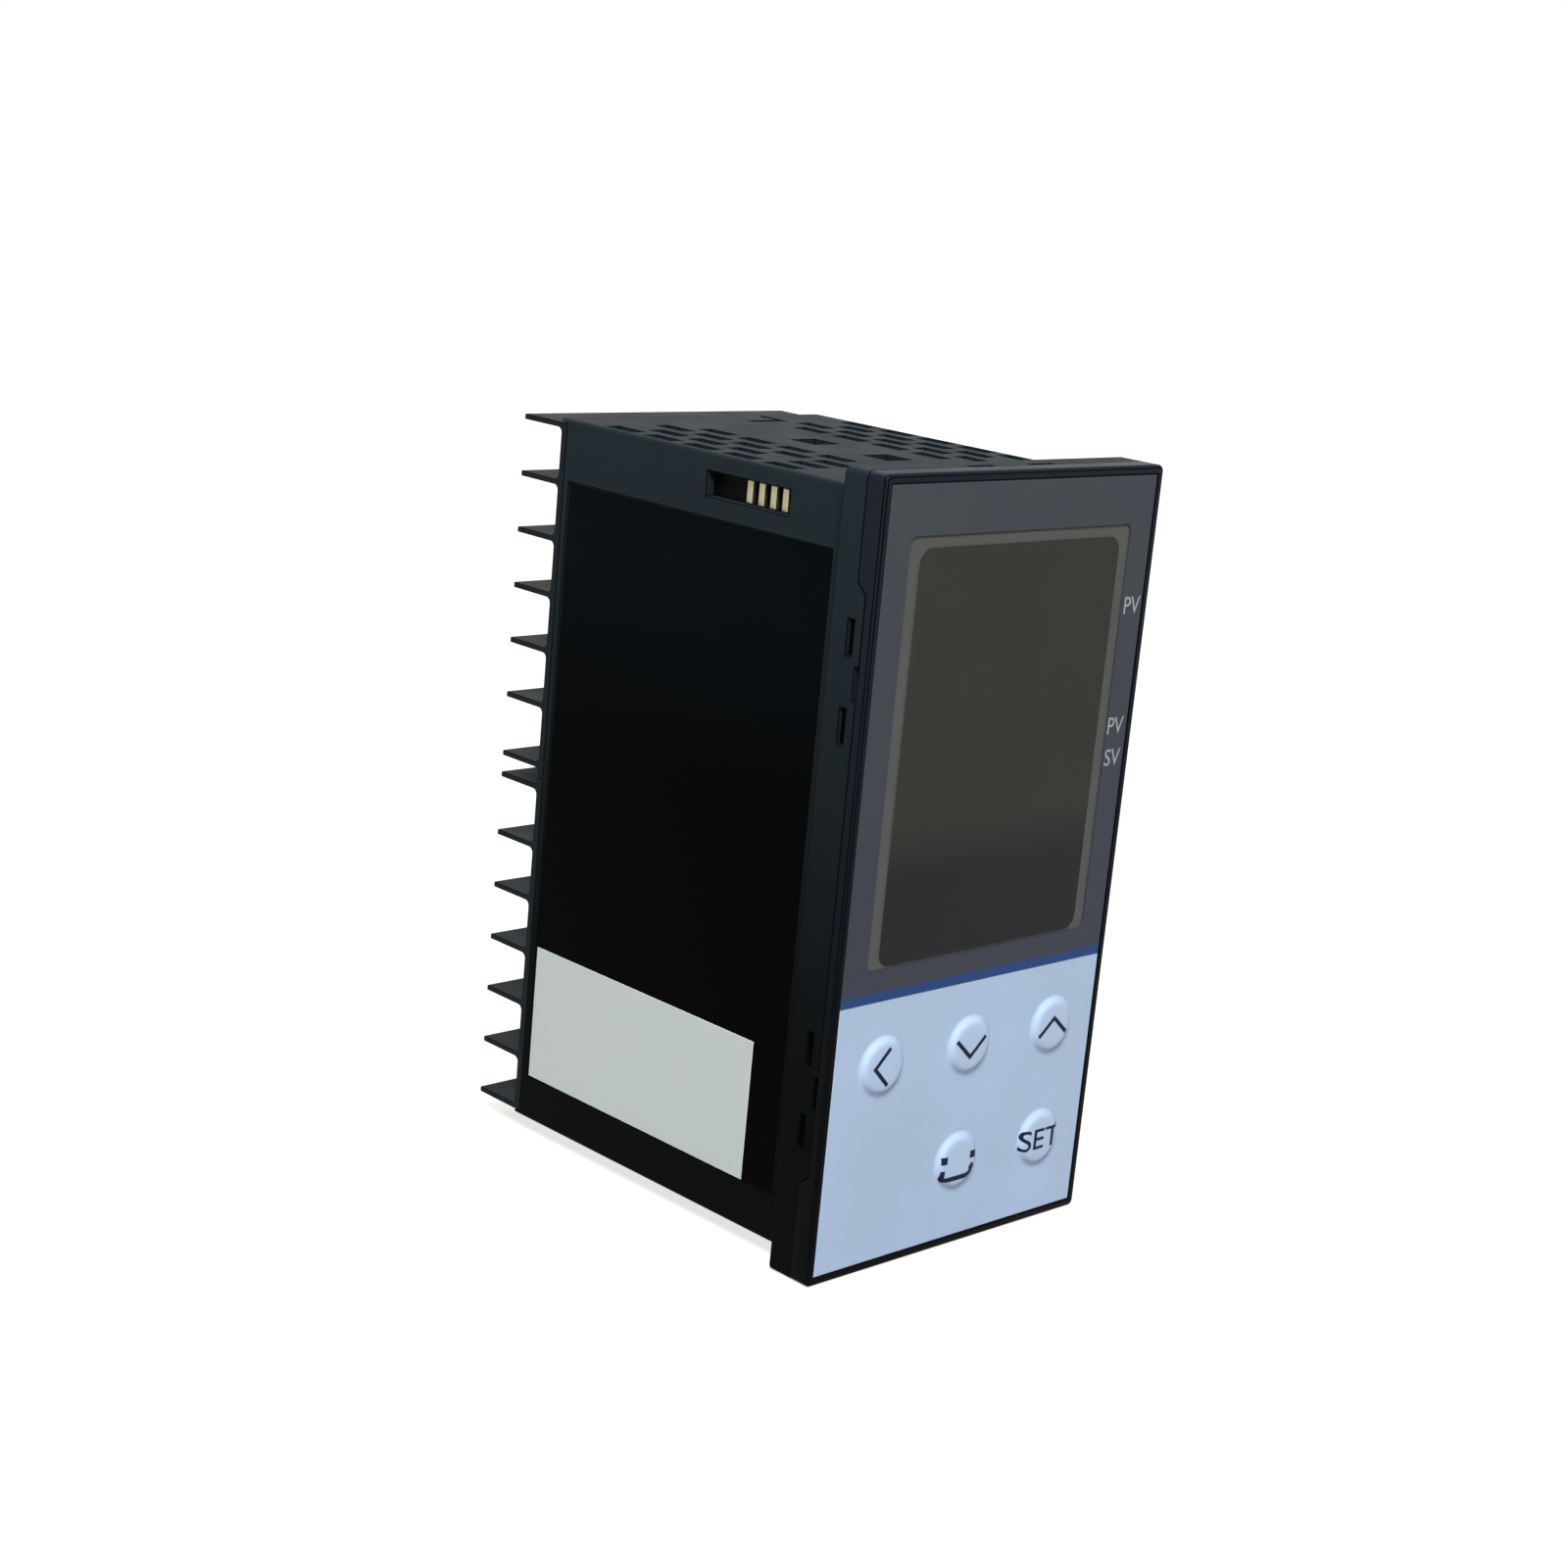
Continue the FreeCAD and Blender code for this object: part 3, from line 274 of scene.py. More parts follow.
def dressed(node, paints, rounding_mm=0.1, pick=None, only=None):
    """A copy of a solid with its edges rounded, that stands for the solid.

    The first paint is for the faces, and the second, if there is one, for the roundings.
    pick, if given, takes a face's middle and direction and returns the number of its paint.
    only, if given, takes the middle of an edge and tells whether it is rounded.
    """
    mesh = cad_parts[node].data.copy()
    mesh.name = node + "_dressed"
    give_paints(mesh, paints)
    form = bmesh.new()
    form.from_mesh(mesh)
    bmesh.ops.remove_doubles(form, verts=form.verts, dist=SAME_POINT)
    bmesh.ops.dissolve_limit(form, angle_limit=FLAT, verts=form.verts, edges=form.edges)
    for face in form.faces:
        face.material_index = pick(face.calc_center_median(), face.normal) if pick else 0
    if rounding_mm:
        sharp = [edge for edge in form.edges
                 if len(edge.link_faces) == 2 and edge.calc_face_angle() > SHARP
                 and (only is None or only((edge.verts[0].co + edge.verts[1].co) / 2))]
        rounded = bmesh.ops.bevel(form, geom=sharp, offset=rounding_mm * MM, offset_type="OFFSET",
                                  segments=2, profile=0.5, affect="EDGES", clamp_overlap=False, material=-1)
        if len(paints) > 1:
            for face in rounded["faces"]:
                face.material_index = 1
    flatten_walls(form)
    form.to_mesh(mesh)
    form.free()
    # The solid's own normals no longer fit the rounded copy.
    if "custom_normal" in mesh.attributes:
        mesh.attributes.remove(mesh.attributes["custom_normal"])
    mesh.set_sharp_from_angle(angle=SOFT)
    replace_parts(new_piece(node + "_dressed", mesh, "controller"), node)


# ---------------------------------------------------------------- finishes
CASE_COLOUR = linear(29, 38, 43)
BEZEL_COLOUR = linear(23, 30, 38)
# Painted shade: the colour that the case and the frame darken to towards their foot.
FOOT_SHADE_COLOUR = linear(5, 6, 6)
SLATE_TOP = linear(63, 69, 70)
SLATE_FOOT = linear(58, 62, 73)
BLUE = linear(34, 64, 114)
SILVER = linear(163, 184, 211)
SILVER_GREY = linear(156, 175, 194)
# The levels between which a colour changes to the one above it, in mm. On the window and on the side label
# this change is a painted reflection.
SLATE_LEVELS = (-10.0, 42.0)
WINDOW_REFLECTION_LEVELS = (0.0, 8.0)
LABEL_REFLECTION_LEVELS = (5.0, 30.0)
# The lower and the upper side of the blue line on the sheet, and how soft they are, in mm.
BLUE_LINE = (-13.7, -12.5)
LINE_BLUR = 0.06
# How far back from its face the frame is seen. What lies behind that is in the case and its latch windows,
# and gets a near-black painted shade.
BEZEL_UNSHADED_DEPTH = 3.0 * MM


def add_case():
    """The case, with painted shade towards its foot and along its rounded edges, and the two terminal
    blocks, with painted shade along their rounded edges.
    """
    body = plastic("case_plastic", CASE_COLOUR, 0.5, specular=0.015, mottle=0.07, foot_shade=FOOT_SHADE_COLOUR)
    # Painted shade: the roundings are near-black, as if in shadow in the seams.
    edges = plastic("case_plastic_edge_shade", scaled(CASE_COLOUR, 0.2), 0.5, specular=0.01)
    dressed("case", (body, edges), rounding_mm=0.12)
    block = plastic("block_plastic", scaled(CASE_COLOUR, 0.6), 0.5, specular=0.03, mottle=0.07)
    for end in ("upper", "lower"):
        dressed("terminal_block_" + end, (block, edges))


def add_bezel():
    """The frame, with painted shade towards its foot and along its rounded edges. Its ring in the case and
    its hooks in the latch windows are darker than the rest, painted near-black as shade.
    """
    body = plastic("bezel_plastic", BEZEL_COLOUR, 0.34, spread=0.04, grain_mm=0.4, depth_mm=0.003,
                   specular=0.03, foot_shade=FOOT_SHADE_COLOUR)
    # Painted shade: the roundings are near-black, as if in shadow in the seams.
    edges = plastic("bezel_plastic_edge_shade", scaled(BEZEL_COLOUR, 0.2), 0.4, specular=0.02)
    # Painted shade: the ring and the hooks deep in the case are near-black.
    hook_shade = plastic("bezel_plastic_hook_shade", scaled(FOOT_SHADE_COLOUR, 0.4), 0.6, specular=0.01)
    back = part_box("front_bezel")[0].y + BEZEL_UNSHADED_DEPTH

    def pick(place, _):
        return 2 if place.y > back else 0

    dressed("front_bezel", (body, edges, hook_shade), rounding_mm=0.12, pick=pick)


def sheet_paint():
    """The printed sheet: slate above, a blue line, and satin silver below."""
    material, tree, surface = new_material("printed_sheet", 0.42, specular=0.08)
    below_line, above_line = [height_share(tree, level - LINE_BLUR, level + LINE_BLUR)
                              for level in BLUE_LINE]
    clouds = noise(tree, 14.0, detail=4.0)
    flake = noise(tree, 0.12, detail=1.0)
    silver = mixed(tree, clouds, scaled(SILVER, 0.94), scaled(SILVER, 1.06))
    silver = mixed(tree, ramp(tree, noise(tree, 22.0, detail=2.0), 0.0, 1.0), silver, SILVER_GREY)
    silver = mixed(tree, ramp(tree, flake, 0.0, 0.5), silver, scaled(SILVER, 1.1))
    tint = mixed(tree, height_share(tree, *SLATE_LEVELS), SLATE_FOOT, SLATE_TOP)
    slate = mixed(tree, clouds, scaled(SLATE_FOOT, 0.85), tint)
    lower = mixed(tree, below_line, silver, BLUE)
    tree.links.new(mixed(tree, above_line, lower, slate), surface.inputs["Base Color"])
    tree.links.new(ramp(tree, clouds, 0.36, 0.5), surface.inputs["Roughness"])
    add_bump(tree, surface, noise(tree, 0.3, detail=2.0), 0.004)
    return material


def add_sheet():
    """The sheet with its face's outer edge rounded, where it catches the light."""
    low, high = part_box("front_sheet")

    def on_edge(place):
        reach = max(abs(place.x) - high.x, abs(place.z) - high.z)
        return place.y < low.y + NEAR and reach > -NEAR

    dressed("front_sheet", (sheet_paint(),), rounding_mm=0.14, only=on_edge)


def add_lens():
    """The window: a dark glossy field, lighter towards its top as a painted reflection, inside a paler
    border.
    """
    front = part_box("display_lens")[0].y
    border = plastic("lens_border", linear(78, 80, 79), 0.3, grain_mm=0.5, depth_mm=0.001, specular=0.06)
    # Painted reflection: the field is lighter towards its top.
    field = film("lens_field_painted_reflection", linear(48, 47, 44), linear(33, 34, 37), WINDOW_REFLECTION_LEVELS, 0.1, 0.06)

    def pick(place, facing):
        return 1 if place.y < front + NEAR and facing.y < -0.9 else 0

    dressed("display_lens", (border, field), rounding_mm=0, pick=pick)


def add_labels():
    """The large glossy label in the side recess, lighter towards its top as a painted reflection, and the
    pale blank one on it.
    """
    # Painted reflection: the glossy label is lighter towards its top.
    gloss = film("side_label_film_painted_reflection", linear(3, 9, 13), linear(2, 2, 2), LABEL_REFLECTION_LEVELS, 0.1, 0.01,
                 depth_mm=0.001)
    gloss_edge = plastic("side_label_edge", linear(40, 46, 54), 0.3, specular=0.2)
    dressed("side_label", (gloss, gloss_edge), rounding_mm=0.05)
    paper = plastic("rating_label_film", linear(176, 186, 184), 0.5, grain_mm=0.5, depth_mm=0.004,
                    mottle=0.03)
    paper_edge = plastic("rating_label_edge", linear(214, 220, 218), 0.5, mottle=0.03)
    dressed("rating_label", (paper, paper_edge), rounding_mm=0.03)


# ---------------------------------------------------------------- keys
# Radius and height above the sheet of a key's dome, from the middle outwards, in mm.
DOME = ((0.0, 0.7), (1.6, 0.695), (2.4, 0.68), (2.7, 0.66), (2.9, 0.62), (3.05, 0.55), (3.18, 0.45),
        (3.32, 0.31), (3.46, 0.17), (3.58, 0.07), (3.7, 0.02), (3.88, 0.0), (3.88, -0.3))
FLANGE_DEPTH = 0.8 * MM


def dome_height(radius):
    """How far a key's dome stands above the sheet at a radius, in metres."""
    radius /= MM
    for (near, top), (far, low) in zip(DOME, DOME[1:]):
        if radius <= far:
            return (top + (low - top) * (radius - near) / (far - near)) * MM
    return DOME[-1][1] * MM


def turned(name, profile, centre, paint, turns=96):
    """A closed mesh turned about a line along Y through centre.

    profile is radius and y, from one end to the other, and turns is the number of steps round.
    """
    form = bmesh.new()
    rings = []
    for radius, y in profile:
        if radius < SAME_POINT:
            rings.append([form.verts.new((centre.x, y, centre.z))])
            continue
        rings.append([form.verts.new((centre.x + radius * math.cos(step * math.tau / turns), y,
                                      centre.z + radius * math.sin(step * math.tau / turns)))
                      for step in range(turns)])
    for ring, following in zip(rings, rings[1:]):
        for step in range(turns):
            after = (step + 1) % turns
            corners = [ring[step % len(ring)], following[step % len(following)],
                       following[after % len(following)], ring[after % len(ring)]]
            corners = list(dict.fromkeys(corners))
            if len(corners) > 2:
                form.faces.new(corners)
    bmesh.ops.recalc_face_normals(form, faces=form.faces)
    mesh = mesh_of(form, name, [paint])
    finish_mesh(mesh, sharp_degrees=50)
    return mesh


def add_key(which, paint):
    """One key: its dome above the sheet, and the flange that holds it behind the sheet."""
    node = "key_" + which
    low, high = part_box(node)
    centre = middle(node)
    flange = (high.x - low.x) / 2
    flange_front = high.y - FLANGE_DEPTH
    profile = [(radius * MM, SHEET_FACE - height * MM) for radius, height in DOME]
    profile += [(DOME[-1][0] * MM, flange_front), (flange, flange_front), (flange, high.y), (0.0, high.y)]
    mesh = turned(node + "_dome", profile, centre, paint)
    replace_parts(new_piece(node + "_dome", mesh, which + "_key"), node)
    give_paints(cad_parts["plunger_" + which].data, [paint])


# How far a mitre reaches out depends on the cosine of half the turn, which is held at this value or more.
SHARPEST_MITRE = 0.3


def stroke(points, width):
    """The outline of a line of the given width through points, with mitred corners and square ends."""
    points = [Vector(point) for point in points]
    sides = ([], [])
    for index, point in enumerate(points):
        before = (point - points[index - 1]).normalized() if index else None
        after = (points[index + 1] - point).normalized() if index + 1 < len(points) else before
        way = ((before or after) + after).normalized()
        across = Vector((-way.y, way.x))
        reach = width / 2 / max(SHARPEST_MITRE, across.dot(Vector((-after.y, after.x))))
        sides[0].append(point + across * reach)
        sides[1].append(point - across * reach)
    return sides[0] + sides[1][::-1]


# The width and the points of the symbols' lines, in mm from the middle of the key.
SYMBOL_WIDTH = 0.5
BRACKET_WIDTH = 0.62
SYMBOLS = {
    "shift": (((0.65, 2.3), (-1.65, 0.0), (0.65, -2.35)),),
    "down": (((-2.7, 0.95), (-0.2, -1.35), (2.3, 0.95)),),
    "up": (((-2.6, -1.15), (-0.1, 1.05), (2.4, -1.15)),),
    "user": (((-2.7, -0.75), (-2.7, -1.75), (-2.45, -2.05), (1.4, -2.05), (2.1, -1.75), (2.35, -1.15)),),
}
ARROW_HEAD = ((1.75, -1.2), (2.35, -0.4), (2.95, -1.2))
DOTS = ((-2.6, 0.55), (2.35, 0.6))
DOT_SIZE = 0.95
# Ink is cut finer until its edges are this short, so that it follows the dome. Each round halves them.
INK_EDGE = 0.14 * MM
INK_ROUNDS = 5


def dropped_on_key(form, centre):
    """Bends a flat form, drawn about the origin in X and Y, on to a key's dome, a little proud of it."""
    bmesh.ops.triangulate(form, faces=form.faces)
    for _ in range(INK_ROUNDS):
        long_edges = [edge for edge in form.edges if edge.calc_length() > INK_EDGE]
        bmesh.ops.subdivide_edges(form, edges=long_edges, cuts=1)
        bmesh.ops.triangulate(form, faces=form.faces)
    for point in form.verts:
        x, z = point.co.x, point.co.y
        y = SHEET_FACE - dome_height(math.hypot(x, z)) - INK_LIFT
        point.co = Vector((centre.x + x, y, centre.z + z))


def add_symbol(which, ink):
    """The symbol printed on a key."""
    name = "symbol_" + which
    form = bmesh.new()
    width = BRACKET_WIDTH if which == "user" else SYMBOL_WIDTH
    shapes = [stroke(line, width) for line in SYMBOLS[which]]
    if which == "user":
        half = DOT_SIZE / 2
        corners = ((-half, -half), (half, -half), (half, half), (-half, half))
        shapes += [[(x + across, y + up) for across, up in corners] for x, y in DOTS]
        shapes.append(ARROW_HEAD)
    for shape in shapes:
        form.faces.new([form.verts.new((point[0] * MM, point[1] * MM, 0)) for point in shape])
    dropped_on_key(form, middle("key_" + which))
    new_piece(name, mesh_of(form, name, [ink]), which + "_key")


def text_mesh(words, height_mm, width_mm, ink, weight=0.0):
    """Flat lettering about the origin in X and Y.

    A width of 0 keeps the letters' own form, and weight thickens their strokes.
    """
    data = bpy.data.curves.new("words", "FONT")
    data.body = words
    data.align_x = "CENTER"
    data.offset = weight
    holder = bpy.data.objects.new("words", data)
    mesh = bpy.data.meshes.new_from_object(holder)
    bpy.data.objects.remove(holder)
    xs = [vertex.co.x for vertex in mesh.vertices]
    ys = [vertex.co.y for vertex in mesh.vertices]
    scale_y = height_mm * MM / (max(ys) - min(ys))
    scale_x = width_mm * MM / (max(xs) - min(xs)) if width_mm else scale_y
    for vertex in mesh.vertices:
        vertex.co.x = (vertex.co.x - (min(xs) + max(xs)) / 2) * scale_x
        vertex.co.y = (vertex.co.y - (min(ys) + max(ys)) / 2) * scale_y
        vertex.co.z = 0
    give_paints(mesh, [ink])
    return mesh


# Height and width of the lettering, in mm.
SET_SIZE = (2.75, 7.1)
LEGEND_SIZE = (2.1, 2.9)
# What stands beside the window, with its X and Z in mm.
LEGENDS = (("PV", 21.0, 31.0), ("PV", 20.7, 16.0), ("SV", 20.8, 12.0))


def add_set_legend(ink):
    """The word SET printed across the select key."""
    mesh = text_mesh("SET", *SET_SIZE, ink, weight=0.004)
    form = bmesh.new()
    form.from_mesh(mesh)
    dropped_on_key(form, middle("key_select"))
    form.to_mesh(mesh)
    form.free()
    new_piece("legend_select", mesh, "select_key")


def add_legends(ink):
    """The process and set value marks beside the window."""
    for number, (words, x, z) in enumerate(LEGENDS):
        mesh = text_mesh(words, *LEGEND_SIZE, ink)
        for vertex in mesh.vertices:
            vertex.co = Vector((x * MM + vertex.co.x, SHEET_FACE - PRINT_LIFT, z * MM + vertex.co.y))
        new_piece(f"legend_{number}", mesh, "controller")


def printing_ink(name, colour):
    """Matt ink that lies flat on what it is printed on."""
    return plastic(name, colour, 0.5, depth_mm=0.001, specular=0.05, mottle=0.05)


def add_keys():
    """The five keys with their symbols, and the legends of the front."""
    paint = plastic("key_plastic", scaled(SILVER, 1.02), 0.36, spread=0.04, grain_mm=0.3, depth_mm=0.002,
                    specular=0.2, mottle=0.03)
    ink = printing_ink("key_ink", linear(26, 32, 48))
    for which in KEYS:
        add_key(which, paint)
        if which in SYMBOLS:
            add_symbol(which, ink)
    add_set_legend(ink)
    add_legends(printing_ink("legend_ink", linear(150, 156, 166)))


# ---------------------------------------------------------------- inner pieces
def block_mesh(name, low, high, rounding=0.0):
    """A block between two corners, with its edges rounded."""
    form = bmesh.new()
    bmesh.ops.create_cube(form, size=1)
    for point in form.verts:
        point.co = Vector([(a + b) / 2 + share * (b - a) for a, b, share in zip(low, high, point.co)])
    if rounding:
        edges = form.edges[:]
        bmesh.ops.bevel(form, geom=edges, offset=rounding, segments=3, profile=0.5, affect="EDGES")
    return mesh_of(form, name)


def solid_boxes(node):
    """The boxes of a node's separate solids, as pairs of corners."""
    form = bmesh.new()
    form.from_mesh(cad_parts[node].data)
    bmesh.ops.remove_doubles(form, verts=form.verts, dist=SAME_POINT)
    waiting = set(form.verts)
    boxes = []
    while waiting:
        solid = []
        reached = [waiting.pop()]
        while reached:
            point = reached.pop()
            solid.append(point.co.copy())
            near = {edge.other_vert(point) for edge in point.link_edges} & waiting
            waiting -= near
            reached += near
        axes = list(zip(*solid))
        boxes.append(([min(axis) for axis in axes], [max(axis) for axis in axes]))
    form.free()
    return sorted(boxes)


def build_from_blocks(node, paints, blocks, rounding_mm):
    """Rounded blocks in the place of each solid of a node.

    A block is its two corners, as shares of the solid's box, and the number of its paint.
    """
    name = node + "_built"
    form = bmesh.new()
    for low, high in solid_boxes(node):
        for *corners, number in blocks:
            ends = [[a + share * (b - a) for a, b, share in zip(low, high, corner)] for corner in corners]
            before = len(form.faces)
            form.from_mesh(block_mesh("block", *ends, rounding_mm * MM))
            form.faces.ensure_lookup_table()
            for face in form.faces[before:]:
                face.material_index = number
    flatten_walls(form)
    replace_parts(new_piece(name, mesh_of(form, name, paints), "controller"), node)


# The blocks of the inner pieces, as build_from_blocks takes them. The plates of the transformer's core lie
# side by side over CORE_SPAN, and every other one is smaller by PLATE_INSET.
CORE_PLATES = 20
CORE_SPAN = (0.22, 0.78)
PLATE_INSET = 0.008
WINDING = [((0.2, 0.0, 0.24), (0.96, 1.0, 0.76), 1), ((0.16, 0.02, 0.2), (1.0, 0.98, 0.23), 2),
           ((0.16, 0.02, 0.77), (1.0, 0.98, 0.8), 2)]
RELAY = [((0.9, 0.0, 0.0), (1.0, 1.0, 1.0), 0), ((0.02, 0.02, 0.03), (0.88, 0.98, 0.97), 0),
         ((0.0, 0.3, 0.3), (0.03, 0.7, 0.7), 0), ((0.86, 0.06, 0.08), (0.92, 0.94, 0.92), 0)]
CONTACT = [((0.0, 0.13, 0.0), (1.0, 0.87, 1.0), 0)]
CELL = [((0.0, 0.12, 0.0), (1.0, 0.5, 1.0), 0), ((0.0, 0.5, 0.06), (1.0, 0.88, 1.0), 0),
        ((0.03, 0.0, 0.03), (0.97, 0.12, 0.97), 1), ((0.03, 0.88, 0.09), (0.97, 1.0, 0.97), 1)]


def add_transformer():
    """A stack of core plates with a taped winding between two bobbin flanges."""
    iron = metal("core_iron", linear(92, 90, 88), 0.5)
    tape = plastic("winding_tape", linear(196, 150, 44), 0.35)
    bobbin = plastic("bobbin_plastic", linear(30, 30, 32), 0.45)
    step = (CORE_SPAN[1] - CORE_SPAN[0]) / CORE_PLATES
    plates = []
    for plate in range(CORE_PLATES):
        start = CORE_SPAN[0] + plate * step
        inset = PLATE_INSET * (plate % 2)
        plates.append(((inset, start, inset), (1 - inset, start + step, 1 - inset), 0))
    build_from_blocks("transformer", (iron, tape, bobbin), plates + WINDING, 0.03)


# A capacitor's outline: radius as a share of the whole, and place behind its top, in mm.
CAN_TOP = ((0.0, 0.4), (0.78, 0.4), (0.8, 0.12), (0.86, 0.0), (0.93, 0.1), (0.98, 0.4), (1.0, 0.9))
CAN_FOOT = ((1.0, -3.4), (0.95, -3.0), (0.95, -2.4), (1.0, -2.0), (1.0, -0.3), (0.95, 0.0), (0.0, 0.0))
BARE_TOP = 0.79


def add_capacitor():
    """A sleeved can lying across the case, with its bare top towards the middle."""
    node = "smoothing_capacitor"
    low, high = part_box(node)
    radius = (high.z - low.z) / 2
    centre = middle(node)
    profile = [(share * radius, low.x + back * MM) for share, back in CAN_TOP]
    profile += [(share * radius, high.x + back * MM) for share, back in CAN_FOOT]
    sleeve = plastic("capacitor_can", linear(28, 36, 60), 0.35)
    mesh = turned(node + "_built", profile, Vector((0, 0, 0)), sleeve, turns=48)
    mesh.materials.append(metal("capacitor_top", linear(190, 190, 188), 0.35))
    for vertex in mesh.vertices:
        along = vertex.co.y
        vertex.co = Vector((along, centre.y + vertex.co.x, centre.z + vertex.co.z))
    mesh.flip_normals()
    for polygon in mesh.polygons:
        place = polygon.center
        off_axis = math.hypot(place.y - centre.y, place.z - centre.z)
        if off_axis < BARE_TOP * radius and place.x < centre.x:
            polygon.material_index = 1
    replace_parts(new_piece(node + "_built", mesh, "controller"), node)


def add_inner_parts():
    """The pieces seen only through the slots. Returns the paint of the contacts."""
    board = plastic("board_laminate", linear(20, 84, 58), 0.4, grain_mm=0.6, depth_mm=0.01)
    white = plastic("white_plastic", linear(222, 224, 220), 0.4, mottle=0.03)
    black = plastic("plug_plastic", linear(10, 10, 11), 0.5, specular=0.03)
    for node in ("main_board", "power_board", "terminal_board", "display_board"):
        dressed(node, (board,))
    for node in ("board_headers", "loader_socket"):
        dressed(node, (black,))
    dressed("lcd_holder", (white,), rounding_mm=0.04)
    dressed("key_switches", (plastic("switch_plastic", linear(40, 40, 42), 0.45),))
    relay = plastic("relay_plastic", linear(24, 60, 120), 0.4)
    build_from_blocks("output_relays", (relay,), RELAY, 0.25)
    glass = plastic("cell_glass", linear(70, 78, 70), 0.12, mottle=0.04)
    polariser = plastic("cell_polariser", linear(40, 44, 40), 0.3, mottle=0.04)
    build_from_blocks("lcd_glass", (glass, polariser), CELL, 0.05)
    contact = metal("contact_metal", linear(172, 168, 136), 0.42)
    build_from_blocks("loader_contacts", (contact,), CONTACT, 0.15)
    add_transformer()
    add_capacitor()
    return contact


# ---------------------------------------------------------------- terminals
CLAMP = (6.6 * MM, 4.4 * MM)
CLAMP_DEPTH = 0.8 * MM
TERMINAL_ROWS = 6
TERMINAL_COLUMNS = 3
SHANK_RADIUS = 1.45 * MM
THREAD_ROOT = 0.82 * SHANK_RADIUS
TIP_RADIUS = 0.6 * SHANK_RADIUS
THREAD_PITCH = 0.5 * MM
HEAD_RADIUS = 2.6 * MM
HEAD_CHAMFER = 0.1 * MM
# The rounding of a head's rim: how far it reaches inwards and down, and its steps.
RIM = (0.7 * MM, 0.75 * MM)
RIM_STEPS = 6
# Half the size in X and in Z, and the depth, of the slot and the two arms of the cross in a head.
DRIVE = ((3.0 * MM, 0.4 * MM, 0.8 * MM), (0.4 * MM, 1.4 * MM, 1.1 * MM), (1.4 * MM, 0.4 * MM, 1.1 * MM))
CLEAR_OF_HEAD = 1.0 * MM
NUMBER_HEIGHT_MM = 1.7
NUMBER_BESIDE = 5.4 * MM


def terminal_middles(end):
    """The middles of a block's terminals, row by row, on the front face of its plates."""
    low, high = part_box("terminal_plates_" + end)
    across = (high.x - low.x - CLAMP[0]) / (TERMINAL_COLUMNS - 1)
    up = (high.z - low.z - CLAMP[1]) / (TERMINAL_ROWS - 1)
    return [Vector((low.x + CLAMP[0] / 2 + column * across, low.y, low.z + CLAMP[1] / 2 + row * up))
            for row in range(TERMINAL_ROWS) for column in range(TERMINAL_COLUMNS)]


def cut_out(mesh, tools):
    """A mesh less the meshes of some tools."""
    holder = bpy.data.objects.new("holder", mesh)
    bpy.context.scene.collection.objects.link(holder)
    cutters = [bpy.data.objects.new("cutter", tool) for tool in tools]
    for cutter in cutters:
        bpy.context.scene.collection.objects.link(cutter)
        step = holder.modifiers.new("cut", "BOOLEAN")
        step.operation = "DIFFERENCE"
        step.solver = "EXACT"
        step.object = cutter
    seen = holder.evaluated_get(bpy.context.evaluated_depsgraph_get())
    result = bpy.data.meshes.new_from_object(seen)
    for item in [holder, *cutters]:
        bpy.data.objects.remove(item)
    return result


def screw_meshes(seat, top, tip, steel):
    """One terminal screw about X = Z = 0, and the clamp washer under its head.

    The screw has a threaded shank and a round head with slot and cross.
    """
    head = seat + CLAMP_DEPTH
    profile = [(0.0, tip), (TIP_RADIUS, tip)]
    turns = int((seat - tip) / THREAD_PITCH)
    for turn in range(turns):
        y = tip + (turn + 0.5) * THREAD_PITCH
        profile += [(THREAD_ROOT, y), (SHANK_RADIUS, y + THREAD_PITCH / 2)]
    profile += [(SHANK_RADIUS, head), (HEAD_RADIUS - HEAD_CHAMFER, head),
                (HEAD_RADIUS, head + HEAD_CHAMFER)]
    for step in range(RIM_STEPS + 1):
        turn = step / RIM_STEPS * math.pi / 2
        profile.append((HEAD_RADIUS - RIM[0] * (1 - math.cos(turn)), top - RIM[1] * (1 - math.sin(turn))))
    profile += [(0.4 * HEAD_RADIUS, top), (0.0, top)]
    blank = turned("screw", profile, Vector((0, 0, 0)), steel, turns=40)
    cutters = [block_mesh("cutter", (-x, top - depth, -z), (x, top + CLEAR_OF_HEAD, z))
               for x, z, depth in DRIVE]
    x, z = CLAMP[0] / 2, CLAMP[1] / 2
    washer = block_mesh("washer", (-x, seat, -z), (x, head, z), rounding=0.12 * MM)
    return cut_out(blank, cutters), washer


def repeated(name, parts, places, paint):
    """One mesh that holds copies of some meshes at several places in X and Z."""
    form = bmesh.new()
    for part in parts:
        for place in places:
            before = len(form.verts)
            form.from_mesh(part)
            form.verts.ensure_lookup_table()
            for point in form.verts[before:]:
                point.co += Vector((place.x, 0, place.z))
    for face in form.faces:
        face.material_index = 0
    mesh = mesh_of(form, name, [paint])
    finish_mesh(mesh, sharp_degrees=30)
    return mesh


def add_terminals(contact):
    """Screws with their captive washers, the plates under them, and a number beside each."""
    steel = metal("plated_steel", linear(176, 176, 170), 0.34)
    ink = printing_ink("number_ink", linear(206, 208, 206))
    number = 0
    for end in ("upper", "lower"):
        plates = "terminal_plates_" + end
        screws = "terminal_screws_" + end
        dressed(plates, (contact,), rounding_mm=0.05)
        low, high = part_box(screws)
        parts = screw_meshes(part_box(plates)[1].y, high.y, low.y, steel)
        mesh = repeated(screws + "_dressed", parts, terminal_middles(end), steel)
        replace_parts(new_piece(screws + "_dressed", mesh, "controller"), screws)
        number = add_numbers(end, number, ink)


